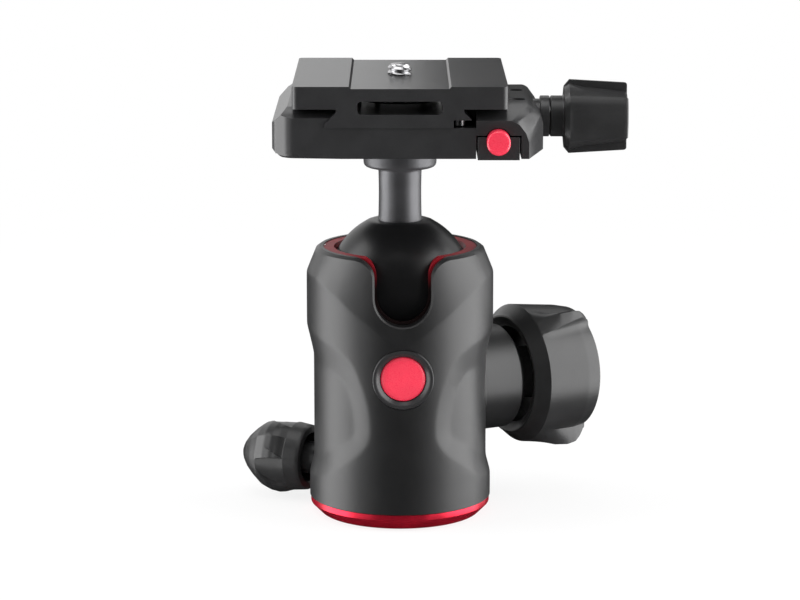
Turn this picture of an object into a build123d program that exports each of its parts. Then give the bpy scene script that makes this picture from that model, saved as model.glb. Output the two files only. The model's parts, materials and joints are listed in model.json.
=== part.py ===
from build123d import *
from math import cos, radians, sin, sqrt, tan
import os

# Tripod ball head with a dovetail quick-release clamp, in millimetres.
# Origin: centre of the bottom mounting face. +Z is up, -Y is the front with the stem slot.
# The lock knob and the clamp knob are on the +X side, the pan knob on the -X side.

# ---------------------------------------------------------------- clearances and angles
RUN = 0.05                  # radial gap of a turning or sliding round fit
FLAT_GAP = 0.05             # gap under a flat face that slides
BALL_GAP = 0.12             # gap between the ball and what holds it
HOUSING_TURN = 2.0          # the housing stands panned by this many degrees
KNOB_SWEEP = 26.0           # both housing knobs point this far behind the sides
LOCK_ANGLE = HOUSING_TURN + KNOB_SWEEP
PAN_ANGLE = 180.0 + HOUSING_TURN - KNOB_SWEEP

# ---------------------------------------------------------------- ball and seat
BALL_RADIUS = 18.6
BALL_HEIGHT = 61.0
SEAT_WALL = 1.28
SEAT_LOW = BALL_HEIGHT - 7.0
SEAT_TOP_DROP = 0.2         # the seat ring ends this far below the housing's rim
SEAT_INNER = BALL_RADIUS + BALL_GAP
SEAT_OUTER = SEAT_INNER + SEAT_WALL
SET_SCREW_RADIUS = 0.55
SET_SCREW_LENGTH = 3.0

# ---------------------------------------------------------------- housing
HOUSING_WALL = 4.45
SHOULDER_RADIUS = SEAT_OUTER + HOUSING_WALL
SHOULDER_LOW = BALL_HEIGHT - 10.6
SHOULDER_HIGH = BALL_HEIGHT + 3.3
FOOT_STEP = 0.6             # the foot is this much slimmer than the shoulder
FOOT_RADIUS = SHOULDER_RADIUS - FOOT_STEP
FOOT_HIGH = 10.3
RIM_RADIUS = SEAT_OUTER + 2.0
RIM_BEVEL = 0.7
HOUSING_TOP = BALL_HEIGHT + 10.0
CHAMBER_RADIUS = 17.6
WEB_LOW = 22.0
WEB_HIGH = 25.0
SCALLOP_DEPTH = 1.8         # depth of the side scallops below the shoulder
SCALLOP_STEPS = 3
SCALLOP_INSET = 1.6         # each deeper step starts this much further in
SCALLOP_TOP = SHOULDER_LOW - 1.4
SCALLOP_FOOT = FOOT_HIGH + 1.0
SCALLOP_REACH = 22.5        # where the outline runs out at the side, seen from the front
SCALLOP_SHOULDER = 14.2
SCALLOP_SHOULDER_DROP = 7.0
SCALLOP_WAIST = 8.8
SCALLOP_WAIST_HIGH = 19.7   # above the scallop's foot
SCALLOP_WAIST_LOW = 10.2
SCALLOP_HEEL = 16.6
SCALLOP_HEEL_RISE = 3.3

# ---------------------------------------------------------------- stem slot
SLOT_HALF_WIDTH = 7.3
SLOT_ARC_HEIGHT = BALL_HEIGHT + 0.2
SLOT_FLARE = 5.0
SLOT_LINER_STEP = 0.7       # the seat ring stands this far into the slot

# ---------------------------------------------------------------- base and pan bearing
BASE_STEP = 0.25
BASE_RADIUS = FOOT_RADIUS - BASE_STEP
BASE_HEIGHT = 4.3
BASE_CHAMFER = 2.6
BASE_SEAM = 0.1
INSERT_RADIUS = 6.0
INSERT_LENGTH = 10.5
THREAD_RADIUS = 3.97        # 3/8"-16 tapping size
POST_RADIUS = 12.0
POST_TOP = 15.0
WASHER_THICKNESS = 0.5
WASHER_RADIUS = 20.0
FLOOR_THICKNESS = 1.8
FLOOR_RADIUS = 21.0
FLOOR_LOW = BASE_HEIGHT + WASHER_THICKNESS
FLOOR_HIGH = FLOOR_LOW + FLOOR_THICKNESS
FLOOR_SCREW_COUNT = 3
FLOOR_SCREW_CIRCLE = 18.4
FLOOR_SCREW_RADIUS = 1.25
FLOOR_SCREW_HEAD = 2.1
FLOOR_SCREW_HEAD_HEIGHT = 1.2
FLOOR_SCREW_LENGTH = 7.0
RETAINER_LOW = FLOOR_HIGH + 0.3
RETAINER_THICKNESS = 0.8
RETAINER_RADIUS = POST_RADIUS + 2.0
RETAINER_GAP = 4.0
GROOVE_DEPTH = 1.0
LOWER_BORE_RADIUS = RETAINER_RADIUS + 1.5

# ---------------------------------------------------------------- pan lock
PAN_HEIGHT = 11.0
PAN_PAD_RADIUS = 2.8
PAN_PAD_END = 19.6
PAN_SPINDLE_RADIUS = 2.5
PAN_NOSE_RADIUS = 1.5
PAN_NOSE_LENGTH = 2.0
PAN_BOSS_RADIUS = 4.4
PAN_BOSS_START = 20.5
PAN_BOSS_END = 25.4
PAN_KNOB_START = 26.0
PAN_KNOB_HOLLOW = 6.4
PAN_KNOB_HOLLOW_DEPTH = 4.0
PAN_KNOB_RADIUS = 10.1
PAN_KNOB_BAND_END = 31.5
PAN_KNOB_END = 46.2
PAN_SPINDLE_END = 38.0
PAN_KNOB_FLAT = 7.3         # distance from the axis to each of the three flats
PAN_KNOB_FLATS = 3
PAN_KNOB_PHASE = 35.0
PAN_KNOB_RIM = 1.5
PAN_KNOB_RIM_LENGTH = 2.0
PAN_KNOB_NOSE = [(9.2, 0.0), (5.7, 1.2), (3.2, 3.7), (1.0, 6.5)]  # from the tip, off the radius

# ---------------------------------------------------------------- main lock
LOCK_HEIGHT = 33.0
LOCK_BOSS_RADIUS = 11.5
LOCK_BOSS_START = 19.3
LOCK_BOSS_END = 31.7
LOCK_SPIGOT_RADIUS = 5.0
LOCK_SPIGOT_START = 17.7
LOCK_SPINDLE_RADIUS = 3.0
LOCK_NOSE_RADIUS = 2.0
LOCK_NOSE_LENGTH = 2.8
WEDGE_START = -12.0
WEDGE_END = 11.0
WEDGE_HALF_WIDTH = 7.0
RAMP_HEIGHT = BALL_HEIGHT - 21.5
RAMP_ANGLE = 15.0
CUP_TOP = BALL_HEIGHT - 10.5
CUP_LINER_WALL = 0.8
CUP_LINER_LOW = BALL_HEIGHT - 16.0
CUP_HOLE_RADIUS = 4.0
LOCK_KNOB_START = 32.0
LOCK_KNOB_END = 52.2
LOCK_KNOB_RADIUS = 19.6
LOCK_KNOB_RIM_RADIUS = 16.2
LOCK_KNOB_HUB_RADIUS = 7.0
LOCK_KNOB_CORE_RADIUS = 14.5
LOCK_KNOB_CAP_THICKNESS = 2.2
LOCK_KNOB_HUB_GAP = 1.2     # from the knob's open end to its hub
LOCK_KNOB_FLOOR = 9.0
LOCK_KNOB_BAND = 6.0
LOCK_KNOB_SHELL = 1.5
LOCK_KNOB_BEVEL = 1.2
LOCK_SCOOP_COUNT = 3
LOCK_SCOOP_ARC = 82.0
LOCK_SCOOP_START_RADIUS = 18.8
LOCK_SCOOP_END_RADIUS = 16.0
LOCK_SCOOP_START = 35.4
LOCK_SCOOP_FACING = 268.0   # the first scoop faces the front

# ---------------------------------------------------------------- badge
BADGE_HEIGHT = 40.3
BADGE_RADIUS = 5.9
BEZEL_RADIUS = 7.9
BADGE_POCKET = 21.6         # distance from the housing's axis to the pocket floor
BEZEL_FACE = 24.2
BADGE_FACE = 23.9

# ---------------------------------------------------------------- drag pad behind the ball
DRAG_PAD_RADIUS = 3.0
DRAG_PAD_LENGTH = 2.7
DRAG_SPRING_LENGTH = 1.3
DRAG_SPRING_WALL = 1.2

# ---------------------------------------------------------------- stem
STEM_RADIUS = 5.8
STEM_WAIST_RADIUS = 5.55
STEM_SPIGOT_RADIUS = 4.0
STEM_SPIGOT_LENGTH = 7.0
COLLAR_RADIUS = 9.5
COLLAR_HEIGHT = 6.5
COLLAR_ROUND = 1.2
NECK_LENGTH = 37.3          # from the ball's centre to the clamp's underside
CLAMP_SCREW_RADIUS = 2.95
CLAMP_SCREW_HEAD = 5.5
CLAMP_SCREW_REACH = 10.0

# ---------------------------------------------------------------- clamp body
CLAMP_LOW = BALL_HEIGHT + NECK_LENGTH
CLAMP_LEFT = -32.2
CLAMP_RIGHT = 36.2
CLAMP_HALF_LENGTH = 29.6
CLAMP_FLOOR = CLAMP_LOW + 7.75
CLAMP_SCREW_SEAT = CLAMP_LOW + 3.0
JAW_TOP = CLAMP_LOW + 12.3
CLAMP_EDGE_ROUND = 2.0
CORNER_CUT = 4.2
CHANNEL_HALF_WIDTH = 10.0
CHANNEL_HALF_LENGTH = 21.6
CHANNEL_DEPTH = 2.05
BLOCK_START = 27.2
BLOCK_HALF_LENGTH = 20.0
ARCH_RIGHT = 32.3
ARCH_TOP = CLAMP_LOW + 9.6
ARCH_CORNER = 3.2
BLOCK_CORNER_WIDTH = 2.8
BLOCK_CORNER_DROP = 3.7
BOTTOM_RISE = 1.1
LEAD_IN_DROP = 2.4
LEAD_IN_LENGTH = 6.6

# ---------------------------------------------------------------- quick-release plate
DOVETAIL_HALF_WIDTH = 19.0
DOVETAIL_NECK = 16.0
DOVETAIL_LAND = 0.9
RIGHT_START = DOVETAIL_HALF_WIDTH + FLAT_GAP
PLATE_LOW = CLAMP_FLOOR + FLAT_GAP
DOVETAIL_HEIGHT = 4.7
FLANGE_THICKNESS = 5.7
FLANGE_LOW = PLATE_LOW + DOVETAIL_HEIGHT
PLATE_TOP = FLANGE_LOW + FLANGE_THICKNESS
PLATE_HALF_WIDTH = 27.0
PLATE_HALF_LENGTH = 30.0
PLATE_CORNER = 1.5
PLATE_RECESS_DEPTH = 0.55
PLATE_RECESS_HALF_WIDTH = 12.3
PLATE_RECESS_SLOPE = 0.5
SLOT_WINDOW_HALF_WIDTH = 10.65
SLOT_WINDOW_FLOOR = 3.35
SLOT_WINDOW_TALL = 3.35
SLOT_WINDOW_LOW = PLATE_LOW + SLOT_WINDOW_FLOOR
SLOT_WINDOW_HIGH = SLOT_WINDOW_LOW + SLOT_WINDOW_TALL
STOP_GROOVE_START = 13.4
STOP_GROOVE_DEPTH = 2.0
STOP_GAP = 0.2
SLIDE_TO_FRONT = 12.0       # travel of the plate until the groove's end meets the latch pin
STOP_SCREW_INSET = 4.0       # from the plate's front end
STOP_SCREW_PLACE = PLATE_HALF_LENGTH - STOP_SCREW_INSET
STOP_SCREW_X = 15.05         # inside the plate's neck, and still in the latch pin's way
STOP_SCREW_HEAD = 1.5
STOP_SCREW_RADIUS = 0.8
STOP_SCREW_LENGTH = 4.0

# ---------------------------------------------------------------- camera screw
CAMERA_SCREW_RADIUS = 3.175  # 1/4"-20 major radius
CAMERA_SCREW_REACH = 2.65    # above the plate's recess
CAMERA_SCREW_RELIEF = 2.5    # radius of the plain shank under the thread, which keeps the screw in the plate
CAMERA_SCREW_HEAD = 9.0
CAMERA_HEAD_THICKNESS = 1.9
CAMERA_WASHER_THICKNESS = 0.45
CAMERA_WASHER_RADIUS = 8.0
RING_WIRE_RADIUS = 0.9
RING_RADIUS = 7.8
RING_DROP = 1.8              # from the head's underside to the ring's pivot
EAR_INNER = 5.2
EAR_OUTER = 6.6
EAR_HALF_WIDTH = 1.6

# ---------------------------------------------------------------- movable jaw and clamp knob
JAW_BACK = 25.0
JAW_HALF_LENGTH = 19.5
TONGUE_HALF_WIDTH = 6.0
TONGUE_DEPTH = 4.9
GUIDE_PIN_RADIUS = 1.5
GUIDE_PIN_PLACE = 15.0
GUIDE_PIN_HEIGHT = CLAMP_LOW + 10.0
GUIDE_PIN_START = 22.0
GUIDE_PIN_END = 31.0
JAW_TRAVEL = 2.0
CLAMP_AXIS = CLAMP_LOW + 6.7
CLAMP_SPINDLE_RADIUS = 3.0
CLAMP_NOSE_RADIUS = 2.0
CLAMP_NOSE_LENGTH = 4.8
BUSHING_RADIUS = 4.5
BUSHING_START = 28.5
BUSHING_FLANGE_RADIUS = 5.3
BUSHING_FLANGE = 2.4
CLAMP_KNOB_NECK_RADIUS = 5.3
CLAMP_KNOB_NECK = 3.6
CLAMP_KNOB_RADIUS = 9.4
CLAMP_KNOB_TIP_RADIUS = 8.6
CLAMP_KNOB_LENGTH = 16.4
CLAMP_KNOB_BEVEL = 1.3
CLAMP_KNOB_FACES = 5
CLAMP_KNOB_CUTTER = 14.0
CLAMP_KNOB_WAIST = 8.3
CLAMP_KNOB_PHASE = 61.0
CLAMP_SPINDLE_END = 52.0
BLOCK_SCREW_PLACE = 9.0
BLOCK_SCREW_X = 29.9
BLOCK_SCREW_RECESS = 2.2
BLOCK_SCREW_HEAD = 2.0
BLOCK_SCREW_RADIUS = 1.3
BLOCK_SCREW_SINK = 0.5
BLOCK_SCREW_HEAD_HEIGHT = 1.5
BLOCK_SCREW_LENGTH = 5.0

# ---------------------------------------------------------------- safety latch
LATCH_LEFT = 19.45
LATCH_RIGHT = 29.95
LATCH_FRONT = 29.8
LATCH_BACK = 12.5
LATCH_DROP = 0.3
LATCH_TOP = CLAMP_LOW + 5.45
LATCH_GAP = 0.4
BUTTON_X = 24.6
BUTTON_HEIGHT = CLAMP_LOW + 4.3
BUTTON_RADIUS = 2.95
BUTTON_FRONT = 33.6
BUTTON_BACK = 23.3
BUTTON_ROUND = 0.7
BUTTON_TRAVEL = 2.5
BUTTON_HALO = 3.45
BUTTON_BORE_BACK = BUTTON_BACK - BUTTON_TRAVEL - 0.2
BUTTON_ROD_RADIUS = 0.9
SPRING_RADIUS = 1.4
SPRING_HOLE_RADIUS = 1.0
SPRING_BORE_BACK = 14.5
PIN_X = 15.9
PIN_Y = 11.0
PIN_RADIUS = 2.2
PIN_LOW = CLAMP_LOW + 2.6
PIN_RISE = 1.65              # how far the pin stands above the clamp's floor
PIN_TRAVEL = 1.8
ARM_HALF_WIDTH = 0.8
ARM_GAP = 0.4


# ---------------------------------------------------------------- shapes used throughout

def rod_z(radius, low, high, x=0.0, y=0.0):
    return Pos(x, y, (low + high) / 2) * Cylinder(radius, high - low)


def rod_x(radius, low, high, y=0.0, z=0.0):
    return Pos((low + high) / 2, y, z) * Rot(0, 90, 0) * Cylinder(radius, high - low)


def rod_y(radius, low, high, x=0.0, z=0.0):
    return Pos(x, (low + high) / 2, z) * Rot(90, 0, 0) * Cylinder(radius, high - low)


def block(x_low, x_high, y_low, y_high, z_low, z_high):
    middle = Pos((x_low + x_high) / 2, (y_low + y_high) / 2, (z_low + z_high) / 2)
    return middle * Box(x_high - x_low, y_high - y_low, z_high - z_low)


def lathe(points, arc=360.0):
    """Turned solid about Z from (radius, height) points."""
    outline = Plane.XZ * make_face(Polyline(*points, close=True))
    return revolve(outline, Axis.Z, arc)


def lathe_x(points):
    """Turned solid about X from (place along X, radius) points."""
    return Rot(0, 90, 0) * lathe([(radius, along) for along, radius in points])


def prism_y(points, y_low, y_high):
    """Outline of (x, z) points carried along Y."""
    outline = Plane.XZ * make_face(Polyline(*points, close=True))
    return Pos(0, (y_low + y_high) / 2, 0) * extrude(outline, (y_high - y_low) / 2, both=True)


def prism_x(points, x_low, x_high):
    """Outline of (y, z) points carried along X."""
    outline = Plane.YZ * make_face(Polyline(*points, close=True))
    return Pos((x_low + x_high) / 2, 0, 0) * extrude(outline, (x_high - x_low) / 2, both=True)


def aim(solid, angle, height=0.0):
    """Swing a solid built along +X to a direction round the housing."""
    return Rot(0, 0, angle) * Pos(0, 0, height) * solid


def with_housing(solid):
    return Rot(0, 0, HOUSING_TURN) * solid


def ball_space(gap):
    return Pos(0, 0, BALL_HEIGHT) * Sphere(BALL_RADIUS + gap)


def both_ends(place, make):
    return make(-place) + make(place)


# ---------------------------------------------------------------- base and pan bearing

def base_plate():
    groove_radius = POST_RADIUS - GROOVE_DEPTH
    retainer_high = RETAINER_LOW + RETAINER_THICKNESS
    outline = [
        (0, 0),
        (BASE_RADIUS - BASE_CHAMFER, 0),
        (BASE_RADIUS, BASE_CHAMFER),
        (BASE_RADIUS, BASE_HEIGHT),
        (POST_RADIUS, BASE_HEIGHT),
        (POST_RADIUS, RETAINER_LOW),
        (groove_radius, RETAINER_LOW),
        (groove_radius, retainer_high),
        (POST_RADIUS, retainer_high),
        (POST_RADIUS, POST_TOP),
        (0, POST_TOP),
    ]
    return lathe(outline) - rod_z(INSERT_RADIUS, 0, INSERT_LENGTH)


def thread_insert():
    return rod_z(INSERT_RADIUS, 0, INSERT_LENGTH) - rod_z(THREAD_RADIUS, 0, INSERT_LENGTH)


def pan_washer():
    hole = rod_z(POST_RADIUS + RUN, BASE_HEIGHT, FLOOR_LOW)
    return rod_z(WASHER_RADIUS, BASE_HEIGHT, FLOOR_LOW) - hole


def pan_retaining_ring():
    high = RETAINER_LOW + RETAINER_THICKNESS
    ring = rod_z(RETAINER_RADIUS, RETAINER_LOW, high)
    ring -= rod_z(POST_RADIUS - GROOVE_DEPTH, RETAINER_LOW, high)
    opening = block(0, RETAINER_RADIUS + 1, -RETAINER_GAP / 2, RETAINER_GAP / 2, RETAINER_LOW, high)
    return aim(ring - opening, LOCK_ANGLE)


def floor_screw():
    head_high = FLOOR_LOW + FLOOR_SCREW_HEAD_HEIGHT
    head = rod_z(FLOOR_SCREW_HEAD, FLOOR_LOW, head_high)
    return head + rod_z(FLOOR_SCREW_RADIUS, head_high, head_high + FLOOR_SCREW_LENGTH)


def floor_screws():
    spread = PolarLocations(FLOOR_SCREW_CIRCLE, FLOOR_SCREW_COUNT, start_angle=60)
    return Part() + [place * floor_screw() for place in spread]


def floor_plate():
    plate = rod_z(FLOOR_RADIUS, FLOOR_LOW, FLOOR_HIGH) - rod_z(POST_RADIUS + RUN, FLOOR_LOW, FLOOR_HIGH)
    return plate - floor_screws()


# ---------------------------------------------------------------- housing and what is fixed in it

def stem_slot(inset):
    """U-shaped opening at the front, with shoulders that flare into the rim."""
    half_width = SLOT_HALF_WIDTH - inset
    front = -SHOULDER_RADIUS - 2
    top = HOUSING_TOP + 2
    slot = rod_y(half_width, front, 0, z=SLOT_ARC_HEIGHT)
    slot += block(-half_width, half_width, front, 0, SLOT_ARC_HEIGHT, top)
    round_radius = SLOT_FLARE + inset
    round_x = half_width + round_radius
    round_z = HOUSING_TOP - SLOT_FLARE
    for side in (-1, 1):
        inner, outer = sorted((side * (half_width - 0.5), side * round_x))
        flare = block(inner, outer, front, 0, round_z, top)
        slot += flare - rod_y(round_radius, front, 0, x=side * round_x, z=round_z)
    return with_housing(slot)


def scallop_outline(step):
    """Edge of one side scallop, as seen from the front; deeper steps are smaller."""
    inset = SCALLOP_INSET * step
    side = SHOULDER_RADIUS + 4
    curve = Spline(
        (SCALLOP_REACH, SCALLOP_TOP - inset),
        (SCALLOP_SHOULDER + inset, SCALLOP_TOP - SCALLOP_SHOULDER_DROP - inset),
        (SCALLOP_WAIST + inset, SCALLOP_FOOT + SCALLOP_WAIST_HIGH),
        (SCALLOP_WAIST + inset, SCALLOP_FOOT + SCALLOP_WAIST_LOW),
        (SCALLOP_HEEL + inset, SCALLOP_FOOT + SCALLOP_HEEL_RISE + inset / 2),
        (SCALLOP_REACH, SCALLOP_FOOT + inset),
    )
    start = curve @ 0
    end = curve @ 1
    rest = Polyline((end.X, end.Y), (side, end.Y), (side, start.Y), (start.X, start.Y))
    return make_face([curve, rest])


def side_scallops():
    """Material taken off both sides, in steps that follow the waist of the housing."""
    outer = SHOULDER_RADIUS + 3
    cut = Part()
    for step in range(SCALLOP_STEPS):
        depth = SCALLOP_DEPTH * (step + 1) / SCALLOP_STEPS
        shell = rod_z(outer, FOOT_HIGH, SHOULDER_LOW)
        shell -= rod_z(SHOULDER_RADIUS - depth, FOOT_HIGH, SHOULDER_LOW)
        window = extrude(Plane.XZ * scallop_outline(step), outer, both=True)
        cut += shell & (window + mirror(window, Plane.YZ))
    return with_housing(cut)


def drag_bore():
    length = DRAG_PAD_LENGTH + DRAG_SPRING_LENGTH
    start = BALL_RADIUS - 1
    return with_housing(rod_y(DRAG_PAD_RADIUS + RUN, start, SEAT_INNER + length, z=BALL_HEIGHT))


def set_screw_place():
    return with_housing(Rot(0, 0, 173) * Pos(SEAT_OUTER, 0, 0))


def housing():
    cone_high = HOUSING_TOP - RIM_BEVEL
    low = BASE_HEIGHT + BASE_SEAM
    body = lathe([
        (0, low),
        (FOOT_RADIUS, low),
        (FOOT_RADIUS, FOOT_HIGH),
        (SHOULDER_RADIUS, SHOULDER_LOW),
        (SHOULDER_RADIUS, SHOULDER_HIGH),
        (RIM_RADIUS, cone_high),
        (RIM_RADIUS - RIM_BEVEL, HOUSING_TOP),
        (0, HOUSING_TOP),
    ])
    body -= side_scallops()
    body -= rod_z(FLOOR_RADIUS, low, FLOOR_HIGH)
    body -= rod_z(LOWER_BORE_RADIUS, FLOOR_HIGH, WEB_LOW)
    body -= rod_z(CHAMBER_RADIUS, WEB_HIGH, SEAT_LOW)
    body -= rod_z(SEAT_OUTER, SEAT_LOW, HOUSING_TOP)
    body -= stem_slot(0)
    body -= floor_screws()
    outside = SHOULDER_RADIUS + 5
    body -= aim(rod_x(LOCK_BOSS_RADIUS, LOCK_BOSS_START, outside), LOCK_ANGLE, LOCK_HEIGHT)
    body -= aim(rod_x(LOCK_SPIGOT_RADIUS, 0, outside), LOCK_ANGLE, LOCK_HEIGHT)
    body -= aim(rod_x(PAN_BOSS_RADIUS, PAN_BOSS_START, outside), PAN_ANGLE, PAN_HEIGHT)
    body -= aim(rod_x(PAN_PAD_RADIUS + RUN, 0, outside), PAN_ANGLE, PAN_HEIGHT)
    body -= with_housing(rod_y(BEZEL_RADIUS, -outside, -BADGE_POCKET, z=BADGE_HEIGHT))
    body -= drag_bore()
    body -= set_screw_place() * rod_z(SET_SCREW_RADIUS, HOUSING_TOP - SET_SCREW_LENGTH, HOUSING_TOP)
    return body


def seat_ring():
    top = HOUSING_TOP - SEAT_TOP_DROP
    ring = rod_z(SEAT_OUTER, SEAT_LOW, top)
    ring -= rod_z(SEAT_INNER, SEAT_LOW, BALL_HEIGHT)
    ring -= ball_space(BALL_GAP)
    mouth = sqrt(SEAT_INNER ** 2 - (top - BALL_HEIGHT) ** 2)
    ring -= lathe([(0, top - 1.5), (mouth, top - 1.5), (mouth + 1.3, top), (0, top)])
    ring -= stem_slot(SLOT_LINER_STEP)
    ring -= drag_bore()
    return ring - set_screw_place() * rod_z(SET_SCREW_RADIUS, HOUSING_TOP - SET_SCREW_LENGTH, HOUSING_TOP)


def seat_ring_set_screw():
    top = HOUSING_TOP - SEAT_TOP_DROP
    return set_screw_place() * rod_z(SET_SCREW_RADIUS, HOUSING_TOP - SET_SCREW_LENGTH, top)


def badge_bezel():
    ring = rod_y(BEZEL_RADIUS, -BEZEL_FACE, -BADGE_POCKET, z=BADGE_HEIGHT)
    front_edge = ring.edges().group_by(Axis.Y)[0]
    ring = fillet(front_edge, 0.4)
    return with_housing(ring - rod_y(BADGE_RADIUS, -BEZEL_FACE, -BADGE_POCKET, z=BADGE_HEIGHT))


def badge_disc():
    disc = rod_y(BADGE_RADIUS, -BADGE_FACE, -BADGE_POCKET, z=BADGE_HEIGHT)
    return with_housing(fillet(disc.edges().group_by(Axis.Y)[0], 0.5))


def lock_boss():
    boss = rod_x(LOCK_BOSS_RADIUS, LOCK_BOSS_START, LOCK_BOSS_END)
    boss += rod_x(LOCK_SPIGOT_RADIUS, LOCK_SPIGOT_START, LOCK_BOSS_START)
    boss -= rod_x(LOCK_SPINDLE_RADIUS + RUN, LOCK_SPIGOT_START, LOCK_BOSS_END)
    return aim(boss, LOCK_ANGLE, LOCK_HEIGHT)


def pan_boss():
    boss = rod_x(PAN_BOSS_RADIUS, PAN_BOSS_START, PAN_BOSS_END)
    return aim(boss - rod_x(PAN_SPINDLE_RADIUS + RUN, PAN_BOSS_START, PAN_BOSS_END), PAN_ANGLE, PAN_HEIGHT)


def drag_spring():
    start = SEAT_INNER + DRAG_PAD_LENGTH
    end = start + DRAG_SPRING_LENGTH
    ring = rod_y(DRAG_PAD_RADIUS, start, end, z=BALL_HEIGHT)
    return with_housing(ring - rod_y(DRAG_PAD_RADIUS - DRAG_SPRING_WALL, start, end, z=BALL_HEIGHT))


# ---------------------------------------------------------------- main lock

def ramp(offset):
    """Space below the sloping face between the wedge and the cup."""
    reach = CHAMBER_RADIUS + 2
    rise = reach * tan(radians(RAMP_ANGLE))
    height = RAMP_HEIGHT - offset
    outline = [(-reach, WEB_HIGH - 2), (reach, WEB_HIGH - 2), (reach, height + rise), (-reach, height - rise)]
    return prism_y(outline, -reach, reach)


def lower_cup():
    cup = rod_z(CHAMBER_RADIUS - RUN, WEB_HIGH, CUP_TOP)
    cup -= aim(ramp(0), LOCK_ANGLE)
    cup -= rod_z(CUP_HOLE_RADIUS, WEB_HIGH, CUP_TOP)
    return cup - ball_space(BALL_GAP + CUP_LINER_WALL)


def cup_liner():
    shell = ball_space(BALL_GAP + CUP_LINER_WALL) - ball_space(BALL_GAP)
    return shell & rod_z(CHAMBER_RADIUS, CUP_LINER_LOW, CUP_TOP)


def locking_wedge():
    low = WEB_HIGH + FLAT_GAP
    wedge = block(WEDGE_START, WEDGE_END, -WEDGE_HALF_WIDTH, WEDGE_HALF_WIDTH, low, CUP_TOP)
    wedge &= ramp(FLAT_GAP)
    nose_start = WEDGE_END - LOCK_NOSE_LENGTH
    wedge -= rod_x(LOCK_NOSE_RADIUS + RUN, nose_start - RUN, WEDGE_END, z=LOCK_HEIGHT)
    return aim(wedge, LOCK_ANGLE)


def lock_spindle():
    shoulder = WEDGE_END + RUN
    nose = rod_x(LOCK_NOSE_RADIUS, WEDGE_END - LOCK_NOSE_LENGTH, shoulder)
    end = LOCK_KNOB_END - LOCK_KNOB_CAP_THICKNESS
    return aim(nose + rod_x(LOCK_SPINDLE_RADIUS, shoulder, end), LOCK_ANGLE, LOCK_HEIGHT)


def lock_knob_core():
    start = LOCK_KNOB_START
    end = LOCK_KNOB_END - LOCK_KNOB_CAP_THICKNESS
    hub = start + LOCK_KNOB_HUB_GAP
    floor = start + LOCK_KNOB_FLOOR
    core = lathe_x([
        (hub, LOCK_SPINDLE_RADIUS),
        (hub, LOCK_KNOB_HUB_RADIUS),
        (floor, LOCK_KNOB_HUB_RADIUS),
        (floor, LOCK_KNOB_CORE_RADIUS - LOCK_KNOB_SHELL),
        (hub, LOCK_KNOB_CORE_RADIUS - LOCK_KNOB_SHELL),
        (hub, LOCK_KNOB_CORE_RADIUS),
        (end, LOCK_KNOB_CORE_RADIUS),
        (end, LOCK_SPINDLE_RADIUS),
    ])
    return aim(core, LOCK_ANGLE, LOCK_HEIGHT)


def lock_knob_grip():
    start = LOCK_KNOB_START
    end = LOCK_KNOB_END
    band = start + LOCK_KNOB_BAND
    ring = lathe_x([
        (start, LOCK_KNOB_RIM_RADIUS),
        (LOCK_SCOOP_START, LOCK_SCOOP_START_RADIUS),
        (band, LOCK_KNOB_RADIUS),
        (end - LOCK_KNOB_BEVEL, LOCK_KNOB_RADIUS),
        (end, LOCK_KNOB_RADIUS - LOCK_KNOB_BEVEL),
        (end, LOCK_KNOB_CORE_RADIUS),
        (start, LOCK_KNOB_CORE_RADIUS),
    ])
    reach = LOCK_KNOB_RADIUS + 3
    for number in range(LOCK_SCOOP_COUNT):
        scoop = lathe([
            (LOCK_SCOOP_START_RADIUS, LOCK_SCOOP_START),
            (reach, LOCK_SCOOP_START),
            (reach, end + 1),
            (LOCK_SCOOP_END_RADIUS, end + 1),
        ], LOCK_SCOOP_ARC)
        turn = LOCK_SCOOP_FACING - LOCK_SCOOP_ARC / 2 + 360.0 * number / LOCK_SCOOP_COUNT
        ring -= Rot(0, 90, 0) * Rot(0, 0, turn) * scoop
    return aim(ring, LOCK_ANGLE, LOCK_HEIGHT)


def lock_knob_cap():
    cap = rod_x(LOCK_KNOB_CORE_RADIUS, LOCK_KNOB_END - LOCK_KNOB_CAP_THICKNESS, LOCK_KNOB_END)
    return aim(cap, LOCK_ANGLE, LOCK_HEIGHT)


# ---------------------------------------------------------------- pan lock

def pan_brake_pad():
    pad = rod_x(PAN_PAD_RADIUS, 0, PAN_PAD_END)
    pad -= rod_x(PAN_NOSE_RADIUS + RUN, PAN_PAD_END - PAN_NOSE_LENGTH - RUN, PAN_PAD_END)
    return aim(pad, PAN_ANGLE, PAN_HEIGHT) - rod_z(POST_RADIUS + RUN, 0, WEB_LOW)


def pan_spindle():
    shoulder = PAN_PAD_END + RUN
    nose = rod_x(PAN_NOSE_RADIUS, PAN_PAD_END - PAN_NOSE_LENGTH, shoulder)
    return aim(nose + rod_x(PAN_SPINDLE_RADIUS, shoulder, PAN_SPINDLE_END), PAN_ANGLE, PAN_HEIGHT)


def pan_knob():
    start = PAN_KNOB_START
    floor = start + PAN_KNOB_HOLLOW_DEPTH
    radius = PAN_KNOB_RADIUS
    end = PAN_KNOB_END
    nose = [(end - back, radius - off) for back, off in PAN_KNOB_NOSE]
    knob = lathe_x([
        (start, PAN_KNOB_HOLLOW),
        (start, radius - PAN_KNOB_RIM),
        (start + PAN_KNOB_RIM_LENGTH, radius - PAN_KNOB_RIM / 3),
        *nose,
        (end, 0),
        (PAN_SPINDLE_END, 0),
        (PAN_SPINDLE_END, PAN_SPINDLE_RADIUS),
        (floor, PAN_SPINDLE_RADIUS),
        (floor, PAN_KNOB_HOLLOW),
    ])
    for number in range(PAN_KNOB_FLATS):
        flat = block(PAN_KNOB_BAND_END, end + 1, -radius, radius, PAN_KNOB_FLAT, radius + 1)
        knob -= Rot(PAN_KNOB_PHASE + 360 * number / PAN_KNOB_FLATS, 0, 0) * flat
    return aim(knob, PAN_ANGLE, PAN_HEIGHT)


# ---------------------------------------------------------------- ball and stem

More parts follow.
